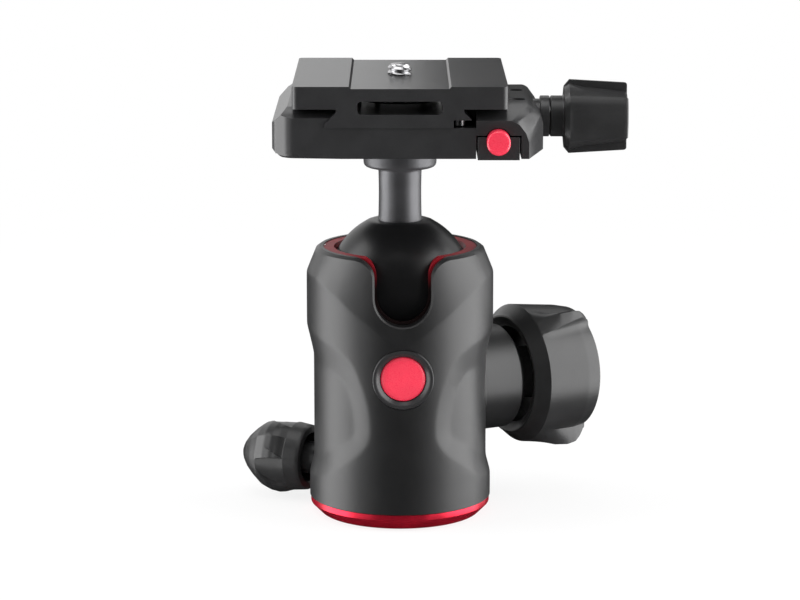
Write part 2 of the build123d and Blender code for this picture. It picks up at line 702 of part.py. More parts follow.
def drag_pad():
    pad = rod_y(DRAG_PAD_RADIUS, BALL_RADIUS - 2, SEAT_INNER + DRAG_PAD_LENGTH, z=BALL_HEIGHT)
    return with_housing(pad) - ball_space(BALL_GAP)


def stem_foot():
    """Height at which the stem's side meets the ball."""
    return BALL_HEIGHT + sqrt(BALL_RADIUS ** 2 - STEM_RADIUS ** 2)


def ball():
    sphere = Pos(0, 0, BALL_HEIGHT) * Sphere(BALL_RADIUS)
    sphere -= rod_z(STEM_RADIUS, stem_foot(), BALL_HEIGHT + BALL_RADIUS + 1)
    return sphere - rod_z(STEM_SPIGOT_RADIUS, stem_foot() - STEM_SPIGOT_LENGTH, CLAMP_LOW)


def stem():
    foot = stem_foot()
    collar_low = CLAMP_LOW - COLLAR_HEIGHT
    middle = (foot + collar_low) / 2
    shaft = lathe([
        (0, foot - STEM_SPIGOT_LENGTH),
        (STEM_SPIGOT_RADIUS, foot - STEM_SPIGOT_LENGTH),
        (STEM_SPIGOT_RADIUS, foot),
        (STEM_RADIUS, foot),
        (STEM_WAIST_RADIUS, middle),
        (STEM_RADIUS, collar_low),
        (COLLAR_RADIUS - COLLAR_ROUND, collar_low),
        (COLLAR_RADIUS, collar_low + COLLAR_ROUND),
        (COLLAR_RADIUS, CLAMP_LOW),
        (0, CLAMP_LOW),
    ])
    return shaft - rod_z(CLAMP_SCREW_RADIUS + RUN, CLAMP_LOW - CLAMP_SCREW_REACH - 0.5, CLAMP_LOW)


# ---------------------------------------------------------------- clamp

def clamp_screw():
    head_top = CLAMP_FLOOR - CHANNEL_DEPTH - 0.2
    head = rod_z(CLAMP_SCREW_HEAD, CLAMP_SCREW_SEAT, head_top)
    return head + rod_z(CLAMP_SCREW_RADIUS, CLAMP_LOW - CLAMP_SCREW_REACH, CLAMP_SCREW_SEAT)


def right_section(right, top, corner_width, corner_drop, y):
    """Cross-section of the clamp's right end at one place along Y."""
    points = [
        (RIGHT_START, y, CLAMP_LOW),
        (right, y, CLAMP_LOW),
        (right, y, top - corner_drop),
        (right - corner_width, y, top),
        (RIGHT_START, y, top),
    ]
    return make_face(Polyline(*points, close=True))


def right_block():
    """The thick right end: a straight middle and two tapering arched ends."""
    solid = Part()
    near = right_section(CLAMP_RIGHT, JAW_TOP, BLOCK_CORNER_WIDTH, BLOCK_CORNER_DROP, -BLOCK_HALF_LENGTH)
    far = right_section(ARCH_RIGHT, ARCH_TOP, ARCH_CORNER, ARCH_CORNER, -CLAMP_HALF_LENGTH)
    front = loft([near, far], ruled=True)
    solid += extrude(near, 2 * BLOCK_HALF_LENGTH, dir=(0, 1, 0))
    solid += front
    solid += mirror(front, Plane.XZ)
    rise = [(ARCH_RIGHT, CLAMP_LOW - 1), (CLAMP_RIGHT + 1, CLAMP_LOW - 1),
            (CLAMP_RIGHT + 1, CLAMP_LOW + BOTTOM_RISE * 1.25), (ARCH_RIGHT, CLAMP_LOW)]
    return solid - prism_y(rise, -CLAMP_HALF_LENGTH, CLAMP_HALF_LENGTH)


def floor_and_fixed_jaw():
    """Floor and fixed jaw, one section carried along Y with cut corners."""
    land_high = PLATE_LOW + DOVETAIL_LAND
    flank_high = land_high + DOVETAIL_HALF_WIDTH - DOVETAIL_NECK
    section = prism_y([
        (CLAMP_LEFT + CLAMP_EDGE_ROUND, CLAMP_LOW),
        (RIGHT_START, CLAMP_LOW),
        (RIGHT_START, CLAMP_FLOOR),
        (-DOVETAIL_HALF_WIDTH - FLAT_GAP, CLAMP_FLOOR),
        (-DOVETAIL_HALF_WIDTH - FLAT_GAP, land_high),
        (-DOVETAIL_NECK - FLAT_GAP, flank_high),
        (-DOVETAIL_NECK - FLAT_GAP, JAW_TOP),
        (CLAMP_LEFT + CLAMP_EDGE_ROUND, JAW_TOP),
        (CLAMP_LEFT, JAW_TOP - CLAMP_EDGE_ROUND),
        (CLAMP_LEFT, CLAMP_LOW + CLAMP_EDGE_ROUND),
    ], -CLAMP_HALF_LENGTH, CLAMP_HALF_LENGTH)
    corner = CLAMP_HALF_LENGTH - CORNER_CUT
    plan = make_face(Polyline(
        (CLAMP_LEFT, -corner),
        (CLAMP_LEFT + CORNER_CUT, -CLAMP_HALF_LENGTH),
        (RIGHT_START, -CLAMP_HALF_LENGTH),
        (RIGHT_START, CLAMP_HALF_LENGTH),
        (CLAMP_LEFT + CORNER_CUT, CLAMP_HALF_LENGTH),
        (CLAMP_LEFT, corner),
        close=True,
    ))
    section &= Pos(0, 0, CLAMP_LOW) * extrude(plan, JAW_TOP - CLAMP_LOW)
    start = CLAMP_HALF_LENGTH - LEAD_IN_LENGTH
    lead_in = prism_x([
        (start, JAW_TOP),
        (CLAMP_HALF_LENGTH + 1, JAW_TOP - LEAD_IN_DROP),
        (CLAMP_HALF_LENGTH + 1, JAW_TOP + 1),
        (start, JAW_TOP + 1),
    ], CLAMP_LEFT - 1, -DOVETAIL_NECK)
    return section - lead_in - mirror(lead_in, Plane.XZ)


def latch_space():
    """Cut-out for the latch block, the halo round the button and the arm's pocket."""
    front = -CLAMP_HALF_LENGTH - 1
    space = block(LATCH_LEFT - LATCH_GAP, LATCH_RIGHT + LATCH_GAP, front, -LATCH_BACK,
                  CLAMP_LOW - 1, LATCH_TOP + LATCH_GAP)
    space += rod_y(BUTTON_HALO, front, -BUTTON_BORE_BACK, x=BUTTON_X, z=BUTTON_HEIGHT)
    arm_low = BUTTON_HEIGHT - ARM_HALF_WIDTH - ARM_GAP
    arm_high = BUTTON_HEIGHT + ARM_HALF_WIDTH + ARM_GAP
    right = BUTTON_X + BUTTON_ROD_RADIUS + ARM_GAP
    back = -PIN_Y + ARM_HALF_WIDTH + BUTTON_TRAVEL + ARM_GAP
    space += block(PIN_X - PIN_RADIUS, right, -LATCH_BACK, back, arm_low, arm_high)
    return space + rod_z(PIN_RADIUS + RUN, PIN_LOW - PIN_TRAVEL - 0.2, CLAMP_FLOOR + 1, x=PIN_X, y=-PIN_Y)


def guide_pins(radius, start, end):
    return both_ends(GUIDE_PIN_PLACE, lambda y: rod_x(radius, start, end, y=y, z=GUIDE_PIN_HEIGHT))


def block_screws():
    top = JAW_TOP - BLOCK_SCREW_SINK
    head_low = top - BLOCK_SCREW_HEAD_HEIGHT
    low = head_low - BLOCK_SCREW_LENGTH

    def screw(y):
        head = rod_z(BLOCK_SCREW_HEAD, head_low, top, BLOCK_SCREW_X, y)
        return head + rod_z(BLOCK_SCREW_RADIUS, low, head_low, BLOCK_SCREW_X, y)

    return both_ends(BLOCK_SCREW_PLACE, screw)


def clamp_body():
    body = floor_and_fixed_jaw() + right_block()
    body -= block(RIGHT_START - 1, BLOCK_START, -BLOCK_HALF_LENGTH, BLOCK_HALF_LENGTH,
                  CLAMP_FLOOR, JAW_TOP + 1)
    body -= block(DOVETAIL_HALF_WIDTH - 1, BLOCK_START, -TONGUE_HALF_WIDTH - 0.2, TONGUE_HALF_WIDTH + 0.2,
                  CLAMP_FLOOR - TONGUE_DEPTH, CLAMP_FLOOR)
    body -= block(-CHANNEL_HALF_WIDTH, CHANNEL_HALF_WIDTH, -CHANNEL_HALF_LENGTH, CHANNEL_HALF_LENGTH,
                  CLAMP_FLOOR - CHANNEL_DEPTH, CLAMP_FLOOR)
    body -= rod_z(CLAMP_SCREW_HEAD + 0.2, CLAMP_SCREW_SEAT, CLAMP_FLOOR)
    body -= rod_z(CLAMP_SCREW_RADIUS, CLAMP_LOW, CLAMP_SCREW_SEAT)
    body -= latch_space()
    body -= rod_x(CLAMP_SPINDLE_RADIUS + RUN, BLOCK_START, CLAMP_RIGHT, z=CLAMP_AXIS)
    body -= rod_x(BUSHING_RADIUS, BUSHING_START, CLAMP_RIGHT, z=CLAMP_AXIS)
    body -= guide_pins(GUIDE_PIN_RADIUS + RUN, BLOCK_START, GUIDE_PIN_END + JAW_TRAVEL + 0.3)
    body -= both_ends(BLOCK_SCREW_PLACE, lambda y: rod_z(
        BLOCK_SCREW_RECESS, JAW_TOP - BLOCK_SCREW_SINK - BLOCK_SCREW_HEAD_HEIGHT, JAW_TOP, BLOCK_SCREW_X, y))
    return body - block_screws()


def clamp_bushing():
    bushing = rod_x(BUSHING_RADIUS, BUSHING_START, CLAMP_RIGHT, z=CLAMP_AXIS)
    end = CLAMP_RIGHT + BUSHING_FLANGE
    bushing += rod_x(BUSHING_FLANGE_RADIUS, CLAMP_RIGHT, end, z=CLAMP_AXIS)
    return bushing - rod_x(CLAMP_SPINDLE_RADIUS + RUN, BUSHING_START, end, z=CLAMP_AXIS)


def movable_jaw():
    land_high = PLATE_LOW + DOVETAIL_LAND
    flank_high = land_high + DOVETAIL_HALF_WIDTH - DOVETAIL_NECK
    low = CLAMP_FLOOR + FLAT_GAP
    jaw = prism_y([
        (RIGHT_START, low),
        (JAW_BACK, low),
        (JAW_BACK, JAW_TOP - FLAT_GAP),
        (DOVETAIL_NECK + FLAT_GAP, JAW_TOP - FLAT_GAP),
        (DOVETAIL_NECK + FLAT_GAP, flank_high),
        (RIGHT_START, land_high),
    ], -JAW_HALF_LENGTH, JAW_HALF_LENGTH)
    jaw += block(RIGHT_START, JAW_BACK, -TONGUE_HALF_WIDTH, TONGUE_HALF_WIDTH,
                 CLAMP_FLOOR - TONGUE_DEPTH + 0.2, low)
    jaw -= rod_x(CLAMP_NOSE_RADIUS + RUN, JAW_BACK - CLAMP_NOSE_LENGTH - RUN, JAW_BACK, z=CLAMP_AXIS)
    return jaw - jaw_guide_pins()


def jaw_guide_pins():
    return guide_pins(GUIDE_PIN_RADIUS, GUIDE_PIN_START, GUIDE_PIN_END)


def clamp_spindle():
    shoulder = JAW_BACK + RUN
    nose = rod_x(CLAMP_NOSE_RADIUS, JAW_BACK - CLAMP_NOSE_LENGTH, shoulder, z=CLAMP_AXIS)
    return nose + rod_x(CLAMP_SPINDLE_RADIUS, shoulder, CLAMP_SPINDLE_END, z=CLAMP_AXIS)


def clamp_knob():
    neck_start = CLAMP_RIGHT + BUSHING_FLANGE + 0.2
    start = neck_start + CLAMP_KNOB_NECK
    end = start + CLAMP_KNOB_LENGTH
    knob = lathe_x([
        (neck_start, 0),
        (neck_start, CLAMP_KNOB_NECK_RADIUS),
        (start, CLAMP_KNOB_NECK_RADIUS),
        (start, CLAMP_KNOB_RADIUS - CLAMP_KNOB_BEVEL),
        (start + CLAMP_KNOB_BEVEL, CLAMP_KNOB_RADIUS),
        (end - 0.4, CLAMP_KNOB_TIP_RADIUS),
        (end, CLAMP_KNOB_TIP_RADIUS - 0.4),
        (end, 0),
    ])
    for number in range(CLAMP_KNOB_FACES):
        cutter = rod_x(CLAMP_KNOB_CUTTER, start + CLAMP_KNOB_BEVEL, end + 1,
                       y=CLAMP_KNOB_CUTTER + CLAMP_KNOB_WAIST)
        knob -= Rot(CLAMP_KNOB_PHASE + 360 * number / CLAMP_KNOB_FACES, 0, 0) * cutter
    knob = Pos(0, 0, CLAMP_AXIS) * knob
    return knob - rod_x(CLAMP_SPINDLE_RADIUS, neck_start, CLAMP_SPINDLE_END, z=CLAMP_AXIS)


# ---------------------------------------------------------------- safety latch

def latch_block():
    solid = block(LATCH_LEFT, LATCH_RIGHT, -LATCH_FRONT, -LATCH_BACK, CLAMP_LOW - LATCH_DROP, LATCH_TOP)
    solid -= rod_y(BUTTON_RADIUS + RUN, -LATCH_FRONT, -BUTTON_BORE_BACK, x=BUTTON_X, z=BUTTON_HEIGHT)
    solid -= rod_y(SPRING_RADIUS + RUN, -BUTTON_BORE_BACK, -SPRING_BORE_BACK, x=BUTTON_X, z=BUTTON_HEIGHT)
    return solid - rod_y(BUTTON_ROD_RADIUS + RUN, -SPRING_BORE_BACK, -LATCH_BACK, x=BUTTON_X, z=BUTTON_HEIGHT)


def release_button():
    cap = rod_y(BUTTON_RADIUS, -BUTTON_FRONT, -BUTTON_BACK, x=BUTTON_X, z=BUTTON_HEIGHT)
    cap = fillet(cap.edges().group_by(Axis.Y)[0], BUTTON_ROUND)
    arm_front = -PIN_Y - ARM_HALF_WIDTH
    arm_back = -PIN_Y + ARM_HALF_WIDTH
    rod = rod_y(BUTTON_ROD_RADIUS, -BUTTON_BACK, arm_back, x=BUTTON_X, z=BUTTON_HEIGHT)
    arm = block(PIN_X - 0.4, BUTTON_X, arm_front, arm_back,
                BUTTON_HEIGHT - ARM_HALF_WIDTH, BUTTON_HEIGHT + ARM_HALF_WIDTH)
    return cap + rod + arm


def button_spring():
    """The spring at its pressed length, against the end of its bore."""
    ring = rod_y(SPRING_RADIUS, -BUTTON_BORE_BACK, -SPRING_BORE_BACK, x=BUTTON_X, z=BUTTON_HEIGHT)
    return ring - rod_y(SPRING_HOLE_RADIUS, -BUTTON_BORE_BACK, -SPRING_BORE_BACK, x=BUTTON_X, z=BUTTON_HEIGHT)


def latch_pin():
    pin = rod_z(PIN_RADIUS, PIN_LOW, CLAMP_FLOOR + PIN_RISE, x=PIN_X, y=-PIN_Y)
    window_low = BUTTON_HEIGHT - ARM_HALF_WIDTH - 0.3
    window_high = BUTTON_HEIGHT + ARM_HALF_WIDTH + PIN_TRAVEL + 0.3
    front = -PIN_Y - ARM_HALF_WIDTH - 0.3
    reach = PIN_RADIUS + 1
    return pin - block(PIN_X - reach, PIN_X + reach, front, -PIN_Y + reach, window_low, window_high)


# ---------------------------------------------------------------- quick-release plate

def plate():
    land_high = PLATE_LOW + DOVETAIL_LAND
    flank_high = land_high + DOVETAIL_HALF_WIDTH - DOVETAIL_NECK
    recess = PLATE_TOP - PLATE_RECESS_DEPTH
    half = [
        (DOVETAIL_HALF_WIDTH, PLATE_LOW),
        (DOVETAIL_HALF_WIDTH, land_high),
        (DOVETAIL_NECK, flank_high),
        (DOVETAIL_NECK, FLANGE_LOW),
        (PLATE_HALF_WIDTH, FLANGE_LOW),
        (PLATE_HALF_WIDTH, PLATE_TOP),
        (PLATE_RECESS_HALF_WIDTH + PLATE_RECESS_SLOPE, PLATE_TOP),
        (PLATE_RECESS_HALF_WIDTH, recess),
    ]
    other = [(-x, z) for x, z in reversed(half)]
    solid = prism_y(half + other, -PLATE_HALF_LENGTH, PLATE_HALF_LENGTH)
    plan = RectangleRounded(2 * PLATE_HALF_WIDTH, 2 * PLATE_HALF_LENGTH, PLATE_CORNER)
    solid &= Pos(0, 0, PLATE_LOW) * extrude(plan, PLATE_TOP - PLATE_LOW)
    reach = PLATE_HALF_LENGTH + 1
    window = block(-SLOT_WINDOW_HALF_WIDTH, SLOT_WINDOW_HALF_WIDTH, -reach, reach,
                   SLOT_WINDOW_LOW, SLOT_WINDOW_HIGH)
    solid -= fillet(window.edges().filter_by(Axis.Y), 1.0)
    solid -= rod_z(SLOT_WINDOW_HALF_WIDTH, PLATE_LOW, SLOT_WINDOW_HIGH)
    solid -= rod_z(CAMERA_SCREW_RADIUS + RUN, SLOT_WINDOW_HIGH, PLATE_TOP)
    groove_end = -PIN_Y + PIN_RADIUS + SLIDE_TO_FRONT + STOP_GAP
    solid -= block(STOP_GROOVE_START, DOVETAIL_HALF_WIDTH, -PLATE_HALF_LENGTH, groove_end,
                   PLATE_LOW, PLATE_LOW + STOP_GROOVE_DEPTH)
    return solid - plate_stop_screw()


def plate_stop_screw():
    ceiling = PLATE_LOW + STOP_GROOVE_DEPTH
    y = -STOP_SCREW_PLACE
    head = rod_z(STOP_SCREW_HEAD, PLATE_LOW + 0.3, ceiling, x=STOP_SCREW_X, y=y)
    return head + rod_z(STOP_SCREW_RADIUS, ceiling, ceiling + STOP_SCREW_LENGTH, x=STOP_SCREW_X, y=y)


def screw_washer():
    low = SLOT_WINDOW_HIGH - CAMERA_WASHER_THICKNESS
    ring = rod_z(CAMERA_WASHER_RADIUS, low, SLOT_WINDOW_HIGH)
    return ring - rod_z(CAMERA_SCREW_RADIUS + RUN, low, SLOT_WINDOW_HIGH)


def camera_head_low():
    return SLOT_WINDOW_HIGH - CAMERA_WASHER_THICKNESS - FLAT_GAP - CAMERA_HEAD_THICKNESS


def ring_height():
    return camera_head_low() - RING_DROP


def camera_screw():
    head_low = camera_head_low()
    head_high = head_low + CAMERA_HEAD_THICKNESS
    thread_low = PLATE_TOP - PLATE_RECESS_DEPTH + 2 * FLAT_GAP
    end = PLATE_TOP - PLATE_RECESS_DEPTH + CAMERA_SCREW_REACH
    screw = rod_z(CAMERA_SCREW_HEAD, head_low, head_high)
    screw += rod_z(CAMERA_SCREW_RELIEF, head_high, thread_low)
    thread = rod_z(CAMERA_SCREW_RADIUS, thread_low, end)
    screw += chamfer(thread.edges().group_by(Axis.Z)[-1], 0.5)
    ear_low = ring_height() - RING_WIRE_RADIUS - 0.5
    for side in (-1, 1):
        inner, outer = sorted((side * EAR_INNER, side * EAR_OUTER))
        screw += block(inner, outer, -EAR_HALF_WIDTH, EAR_HALF_WIDTH, ear_low, head_low)
    return screw - rod_x(RING_WIRE_RADIUS + RUN, -EAR_OUTER, EAR_OUTER, z=ring_height())


def d_ring():
    height = ring_height()
    reach = RING_RADIUS + RING_WIRE_RADIUS
    bow = Pos(0, 0, height) * Torus(RING_RADIUS, RING_WIRE_RADIUS)
    bow &= block(-reach, reach, -reach, 0, height - reach, height + reach)
    for side in (-1, 1):
        inner, outer = sorted((side * EAR_INNER, side * RING_RADIUS))
        bow += rod_x(RING_WIRE_RADIUS, inner, outer, z=height)
        bow += Pos(side * RING_RADIUS, 0, height) * Sphere(RING_WIRE_RADIUS)
    return bow


# ---------------------------------------------------------------- writing the sub-parts

PIECES = {
    "base_plate": base_plate,
    "thread_insert": thread_insert,
    "pan_washer": pan_washer,
    "pan_retaining_ring": pan_retaining_ring,
    "housing": housing,
    "floor_plate": floor_plate,
    "floor_screws": floor_screws,
    "seat_ring": seat_ring,
    "seat_ring_set_screw": seat_ring_set_screw,
    "badge_bezel": badge_bezel,
    "badge_disc": badge_disc,
    "lock_boss": lock_boss,
    "pan_boss": pan_boss,
    "drag_spring": drag_spring,
    "lower_cup": lower_cup,
    "cup_liner": cup_liner,
    "locking_wedge": locking_wedge,
    "lock_spindle": lock_spindle,
    "lock_knob_core": lock_knob_core,
    "lock_knob_grip": lock_knob_grip,
    "lock_knob_cap": lock_knob_cap,
    "pan_brake_pad": pan_brake_pad,
    "pan_spindle": pan_spindle,
    "pan_knob": pan_knob,
    "drag_pad": drag_pad,
    "ball": ball,
    "stem": stem,
    "clamp_screw": clamp_screw,
    "clamp_body": clamp_body,
    "clamp_bushing": clamp_bushing,
    "block_screws": block_screws,
    "latch_block": latch_block,
    "button_spring": button_spring,
    "release_button": release_button,
    "latch_pin": latch_pin,
    "movable_jaw": movable_jaw,
    "jaw_guide_pins": jaw_guide_pins,
    "clamp_spindle": clamp_spindle,
    "clamp_knob": clamp_knob,
    "plate": plate,
    "plate_stop_screw": plate_stop_screw,
    "screw_washer": screw_washer,
    "camera_screw": camera_screw,
    "d_ring": d_ring,
}


def main():
    os.makedirs("parts", exist_ok=True)
    for name, make in PIECES.items():
        export_step(make(), os.path.join("parts", name + ".step"))
        print("wrote", name)


main()
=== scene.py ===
import json
from math import atan2, cos, degrees, hypot, pi, radians, sin, sqrt

import bmesh
import bpy
import numpy as np
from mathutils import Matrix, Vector
from mathutils.geometry import delaunay_2d_cdt
from mathutils.kdtree import KDTree


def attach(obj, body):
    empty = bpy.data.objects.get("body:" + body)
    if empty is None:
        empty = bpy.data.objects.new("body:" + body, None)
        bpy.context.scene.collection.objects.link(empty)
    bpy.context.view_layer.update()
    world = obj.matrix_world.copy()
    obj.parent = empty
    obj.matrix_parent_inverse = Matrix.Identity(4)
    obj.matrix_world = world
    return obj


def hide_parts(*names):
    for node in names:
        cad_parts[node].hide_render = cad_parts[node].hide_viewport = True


# Finish and shapes of a tripod ball head. Lengths are in millimetres and become metres when a mesh
# is made; the studio is in metres. The front, with the stem slot, faces -Y.

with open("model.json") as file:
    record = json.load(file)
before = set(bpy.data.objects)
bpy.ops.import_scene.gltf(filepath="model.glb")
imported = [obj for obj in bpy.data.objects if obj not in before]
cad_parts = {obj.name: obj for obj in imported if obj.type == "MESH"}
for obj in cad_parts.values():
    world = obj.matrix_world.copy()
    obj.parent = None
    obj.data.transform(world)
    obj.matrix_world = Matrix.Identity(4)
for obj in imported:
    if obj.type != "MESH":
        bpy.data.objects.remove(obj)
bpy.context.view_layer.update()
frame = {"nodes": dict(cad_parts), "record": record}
MM = 0.001

# ---------------------------------------------------------------- places shared with the solids
HOUSING_TURN = 2.0
LOCK_ANGLE = 28.0
PAN_ANGLE = 156.0
BALL_HEIGHT = 61.0
BALL_RADIUS = 18.6
LOCK_HEIGHT = 33.0
PAN_HEIGHT = 11.0
CLAMP_LOW = 98.3
CLAMP_AXIS = 105.0
BADGE_HEIGHT = 40.3
BUTTON_X = 24.6
BUTTON_HEIGHT = 102.6
BUTTON_RISE = 0.3             # of the button's cap over its rod
ROD_FRONT = -33.0             # where the rod ends inside the cap
ROD_SHRINK = 0.8              # and how much narrower that end is


# ---------------------------------------------------------------- finishes

NOISE_SPAN = (0.3, 0.7)       # where most of a noise texture's values lie
CLOUD_SIZE = 6.0              # of the slow change in colour


def add_node(tree, kind, inputs=None, **settings):
    """New node; an input that is given a socket is linked to it, and any other is set."""
    node = tree.nodes.new(kind)
    for name, value in settings.items():
        setattr(node, name, value)
    for name, value in (inputs or {}).items():
        if isinstance(value, bpy.types.NodeSocket):
            tree.links.new(value, node.inputs[name])
        else:
            node.inputs[name].default_value = value
    return node


def coordinate(tree, kind):
    return add_node(tree, "ShaderNodeTexCoord").outputs[kind]


def height_of(tree, place):
    return add_node(tree, "ShaderNodeSeparateXYZ", {"Vector": place}).outputs["Z"]


def noise_texture(tree, place, size, detail=2.0, stretch=(1, 1, 1)):
    """Noise whose grains are about `size` millimetres across, stretched along the axes."""
    mapping = add_node(tree, "ShaderNodeMapping", {"Vector": place, "Scale": stretch})
    noise = add_node(tree, "ShaderNodeTexNoise", {"Vector": mapping.outputs["Vector"],
                                                  "Scale": 1.0 / (size * MM), "Detail": detail})
    return noise.outputs["Fac"]


def spread(tree, value, span, result):
    """Map a value from one range onto another."""
    node = add_node(tree, "ShaderNodeMapRange", {"Value": value, "From Min": span[0], "From Max": span[1],
                                                 "To Min": result[0], "To Max": result[1]})
    return node.outputs["Result"]


def colour_mix(tree, first, second, factor):
    node = add_node(tree, "ShaderNodeMix", {"A": first, "B": second, "Factor": factor}, data_type="RGBA")
    return node.outputs["Result"]


def finish(name, colour, roughness, metallic=0.0, specular=0.5, coat=0.0, shade=0.12,
           rough_spread=0.05, grain=0.2, grain_depth=0.0, stretch=(1, 1, 1)):
    """Surface finish: slow colour clouding, uneven gloss and a fine grain in the relief."""
    material = bpy.data.materials.new(name)
    material.use_nodes = True
    tree = material.node_tree
    shader = tree.nodes["Principled BSDF"]
    shader.inputs["Metallic"].default_value = metallic
    shader.inputs["Specular IOR Level"].default_value = specular
    shader.inputs["Coat Weight"].default_value = coat
    shader.inputs["Coat Roughness"].default_value = 0.12
    place = coordinate(tree, "Object")
    slow = noise_texture(tree, place, CLOUD_SIZE, 3.0)
    fine = noise_texture(tree, place, grain, 2.0, stretch)
    dark, light = ((*(min(1, c * share) for c in colour), 1) for share in (1 - shade, 1 + shade))
    mixed = colour_mix(tree, dark, light, spread(tree, slow, NOISE_SPAN, (0, 1)))
    gloss = spread(tree, fine, NOISE_SPAN, (roughness - rough_spread, roughness + rough_spread))
    bump = add_node(tree, "ShaderNodeBump", {"Height": fine, "Strength": 0.6,
                                             "Distance": grain_depth * MM})
    tree.links.new(mixed, shader.inputs["Base Color"])
    tree.links.new(gloss, shader.inputs["Roughness"])
    tree.links.new(bump.outputs["Normal"], shader.inputs["Normal"])
    return material


def paint_shade_below(material, low, high, shade):
    """Painted shade: let the colour fall to a dark tone below a band of heights, standing in for the
    shadow deep in a gap.
    """
    tree = material.node_tree
    colour = tree.nodes["Principled BSDF"].inputs["Base Color"]
    rise = spread(tree, height_of(tree, coordinate(tree, "Object")), (low * MM, high * MM), (0, 1))
    mixed = colour_mix(tree, (*shade, 1), colour.links[0].from_socket, rise)
    tree.links.new(mixed, colour)


FINISHES = {
    "black_casting": finish("powder_coat_black", (0.009, 0.009, 0.0095), 0.40, specular=0.55,
                            rough_spread=0.07, grain=0.16, grain_depth=0.025),
    "black_anodised": finish("anodised_black", (0.024, 0.024, 0.025), 0.31, grain=0.09,
                             grain_depth=0.006),
    "grey_anodised": finish("anodised_grey", (0.085, 0.085, 0.09), 0.38, metallic=0.55,
                            grain=0.12, grain_depth=0.006, stretch=(0.15, 0.15, 3)),
    "ball_black": finish("ball_coating", (0.006, 0.006, 0.0065), 0.34, specular=0.3,
                         rough_spread=0.03, grain=0.1, grain_depth=0.004),
    "red_anodised": finish("anodised_red", (0.62, 0.015, 0.04), 0.26, metallic=0.75,
                           rough_spread=0.04, grain=0.1, grain_depth=0.004, stretch=(1, 1, 6)),
    "dark_red": finish("anodised_dark_red_painted_shade", (0.26, 0.008, 0.016), 0.46, specular=0.2,
                       rough_spread=0.04, grain=0.1, grain_depth=0.004),
    "red_plastic": finish("red_enamel", (0.80, 0.035, 0.075), 0.28, coat=0.3, shade=0.05,
                          rough_spread=0.03, grain_depth=0.003),
    "knob_plastic": finish("moulded_black", (0.021, 0.021, 0.0215), 0.34, specular=0.44,
                           rough_spread=0.07, grain_depth=0.03),
    "knob_rubber": finish("soft_touch_black", (0.018, 0.018, 0.0185), 0.36, specular=0.46,
                          rough_spread=0.06, grain=0.22, grain_depth=0.03),
    "steel": finish("machined_steel", (0.56, 0.56, 0.57), 0.27, metallic=1.0,
                    rough_spread=0.07, grain=0.1, grain_depth=0.006, stretch=(1, 1, 5)),
    "brass": finish("turned_brass", (0.72, 0.50, 0.20), 0.3, metallic=1.0,
                    rough_spread=0.06, grain=0.1, grain_depth=0.006, stretch=(1, 1, 5)),
    "white_polymer": finish("slip_polymer", (0.78, 0.78, 0.75), 0.42, shade=0.04,
                            grain=0.25, grain_depth=0.01),
}
# Painted shade: the dark red seat ring goes nearly black below the rim, where the stem slot lies in
# shadow.
paint_shade_below(FINISHES["dark_red"], 63.0, 69.5, (0.012, 0.006, 0.006))


# ---------------------------------------------------------------- making meshes

CREASE = 32.0                 # degrees; a sharper edge of a made piece stays crisp
HARD_EDGE = 30.0              # degrees; a sharper edge of a solid is rounded


def new_object(name, data):
    thing = bpy.data.objects.new(name, data)
    bpy.context.scene.collection.objects.link(thing)
    return thing


def close_mesh(mesh, crease):
    """Merge doubles, point the faces outwards and keep edges sharper than `crease` crisp."""
    work = bmesh.new()
    work.from_mesh(mesh)
    bmesh.ops.remove_doubles(work, verts=work.verts, dist=2e-6)
    bmesh.ops.dissolve_degenerate(work, edges=work.edges, dist=1e-7)
    bmesh.ops.recalc_face_normals(work, faces=work.faces)
    work.to_mesh(mesh)
    work.free()
    mesh.shade_smooth()
    mesh.set_sharp_from_angle(angle=radians(crease))


def paint(piece, slot):
    piece.data.materials.clear()
    piece.data.materials.append(FINISHES[slot])


def dress(piece, body, slot, node):
    """Give a piece its body, its finish and the solid that it stands for."""
    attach(piece, body)
    paint(piece, slot)
    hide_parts(node)


def shell_piece(name, points, faces, crease=CREASE):
    mesh = bpy.data.meshes.new(name)
    mesh.from_pydata((np.asarray(points, float) * MM).tolist(), [], [list(map(int, f)) for f in faces])
    close_mesh(mesh, crease)
    return new_object(name, mesh)


def axes_at(origin, along, near, up=(0, 0, 1)):
    """Origin, axis, near side and up of a piece that is made round an axis."""
    return tuple(np.array(way, float) for way in (origin, along, near, up))


def knob_frame(angle, height):
    """Axes of a knob that points outwards at an angle round the housing."""
    x, y = cos(radians(angle)), sin(radians(angle))
    side = 1 if x > 0 else -1
    return axes_at((0, 0, height), (x, y, 0), (side * y, -side * x, 0))


CLAMP_FRAME = axes_at((0, 0, CLAMP_AXIS), (1, 0, 0), (0, -1, 0))
UPRIGHT = axes_at((0, 0, 0), (0, 0, 1), (0, -1, 0), (1, 0, 0))
TIP = 1e-4                    # radius of a ring that closes a piece on its axis


def place_ring(axes, along, radius, angles):
    """Points round an axis; `radius` may vary with the angle."""
    origin, axis, near, up = axes
    radius = np.broadcast_to(radius, angles.shape)[:, None]
    spin = np.cos(angles)[:, None] * near + np.sin(angles)[:, None] * up
    return origin + axis * along + radius * spin


def skin(rings):
    """Quads between rings of equal length; each ring closes on itself."""
    count = len(rings[0])
    faces = []
    for first in range(0, (len(rings) - 1) * count, count):
        for i in range(count):
            j = (i + 1) % count
            faces.append((first + i, first + j, first + count + j, first + count + i))
    return np.concatenate(rings), faces


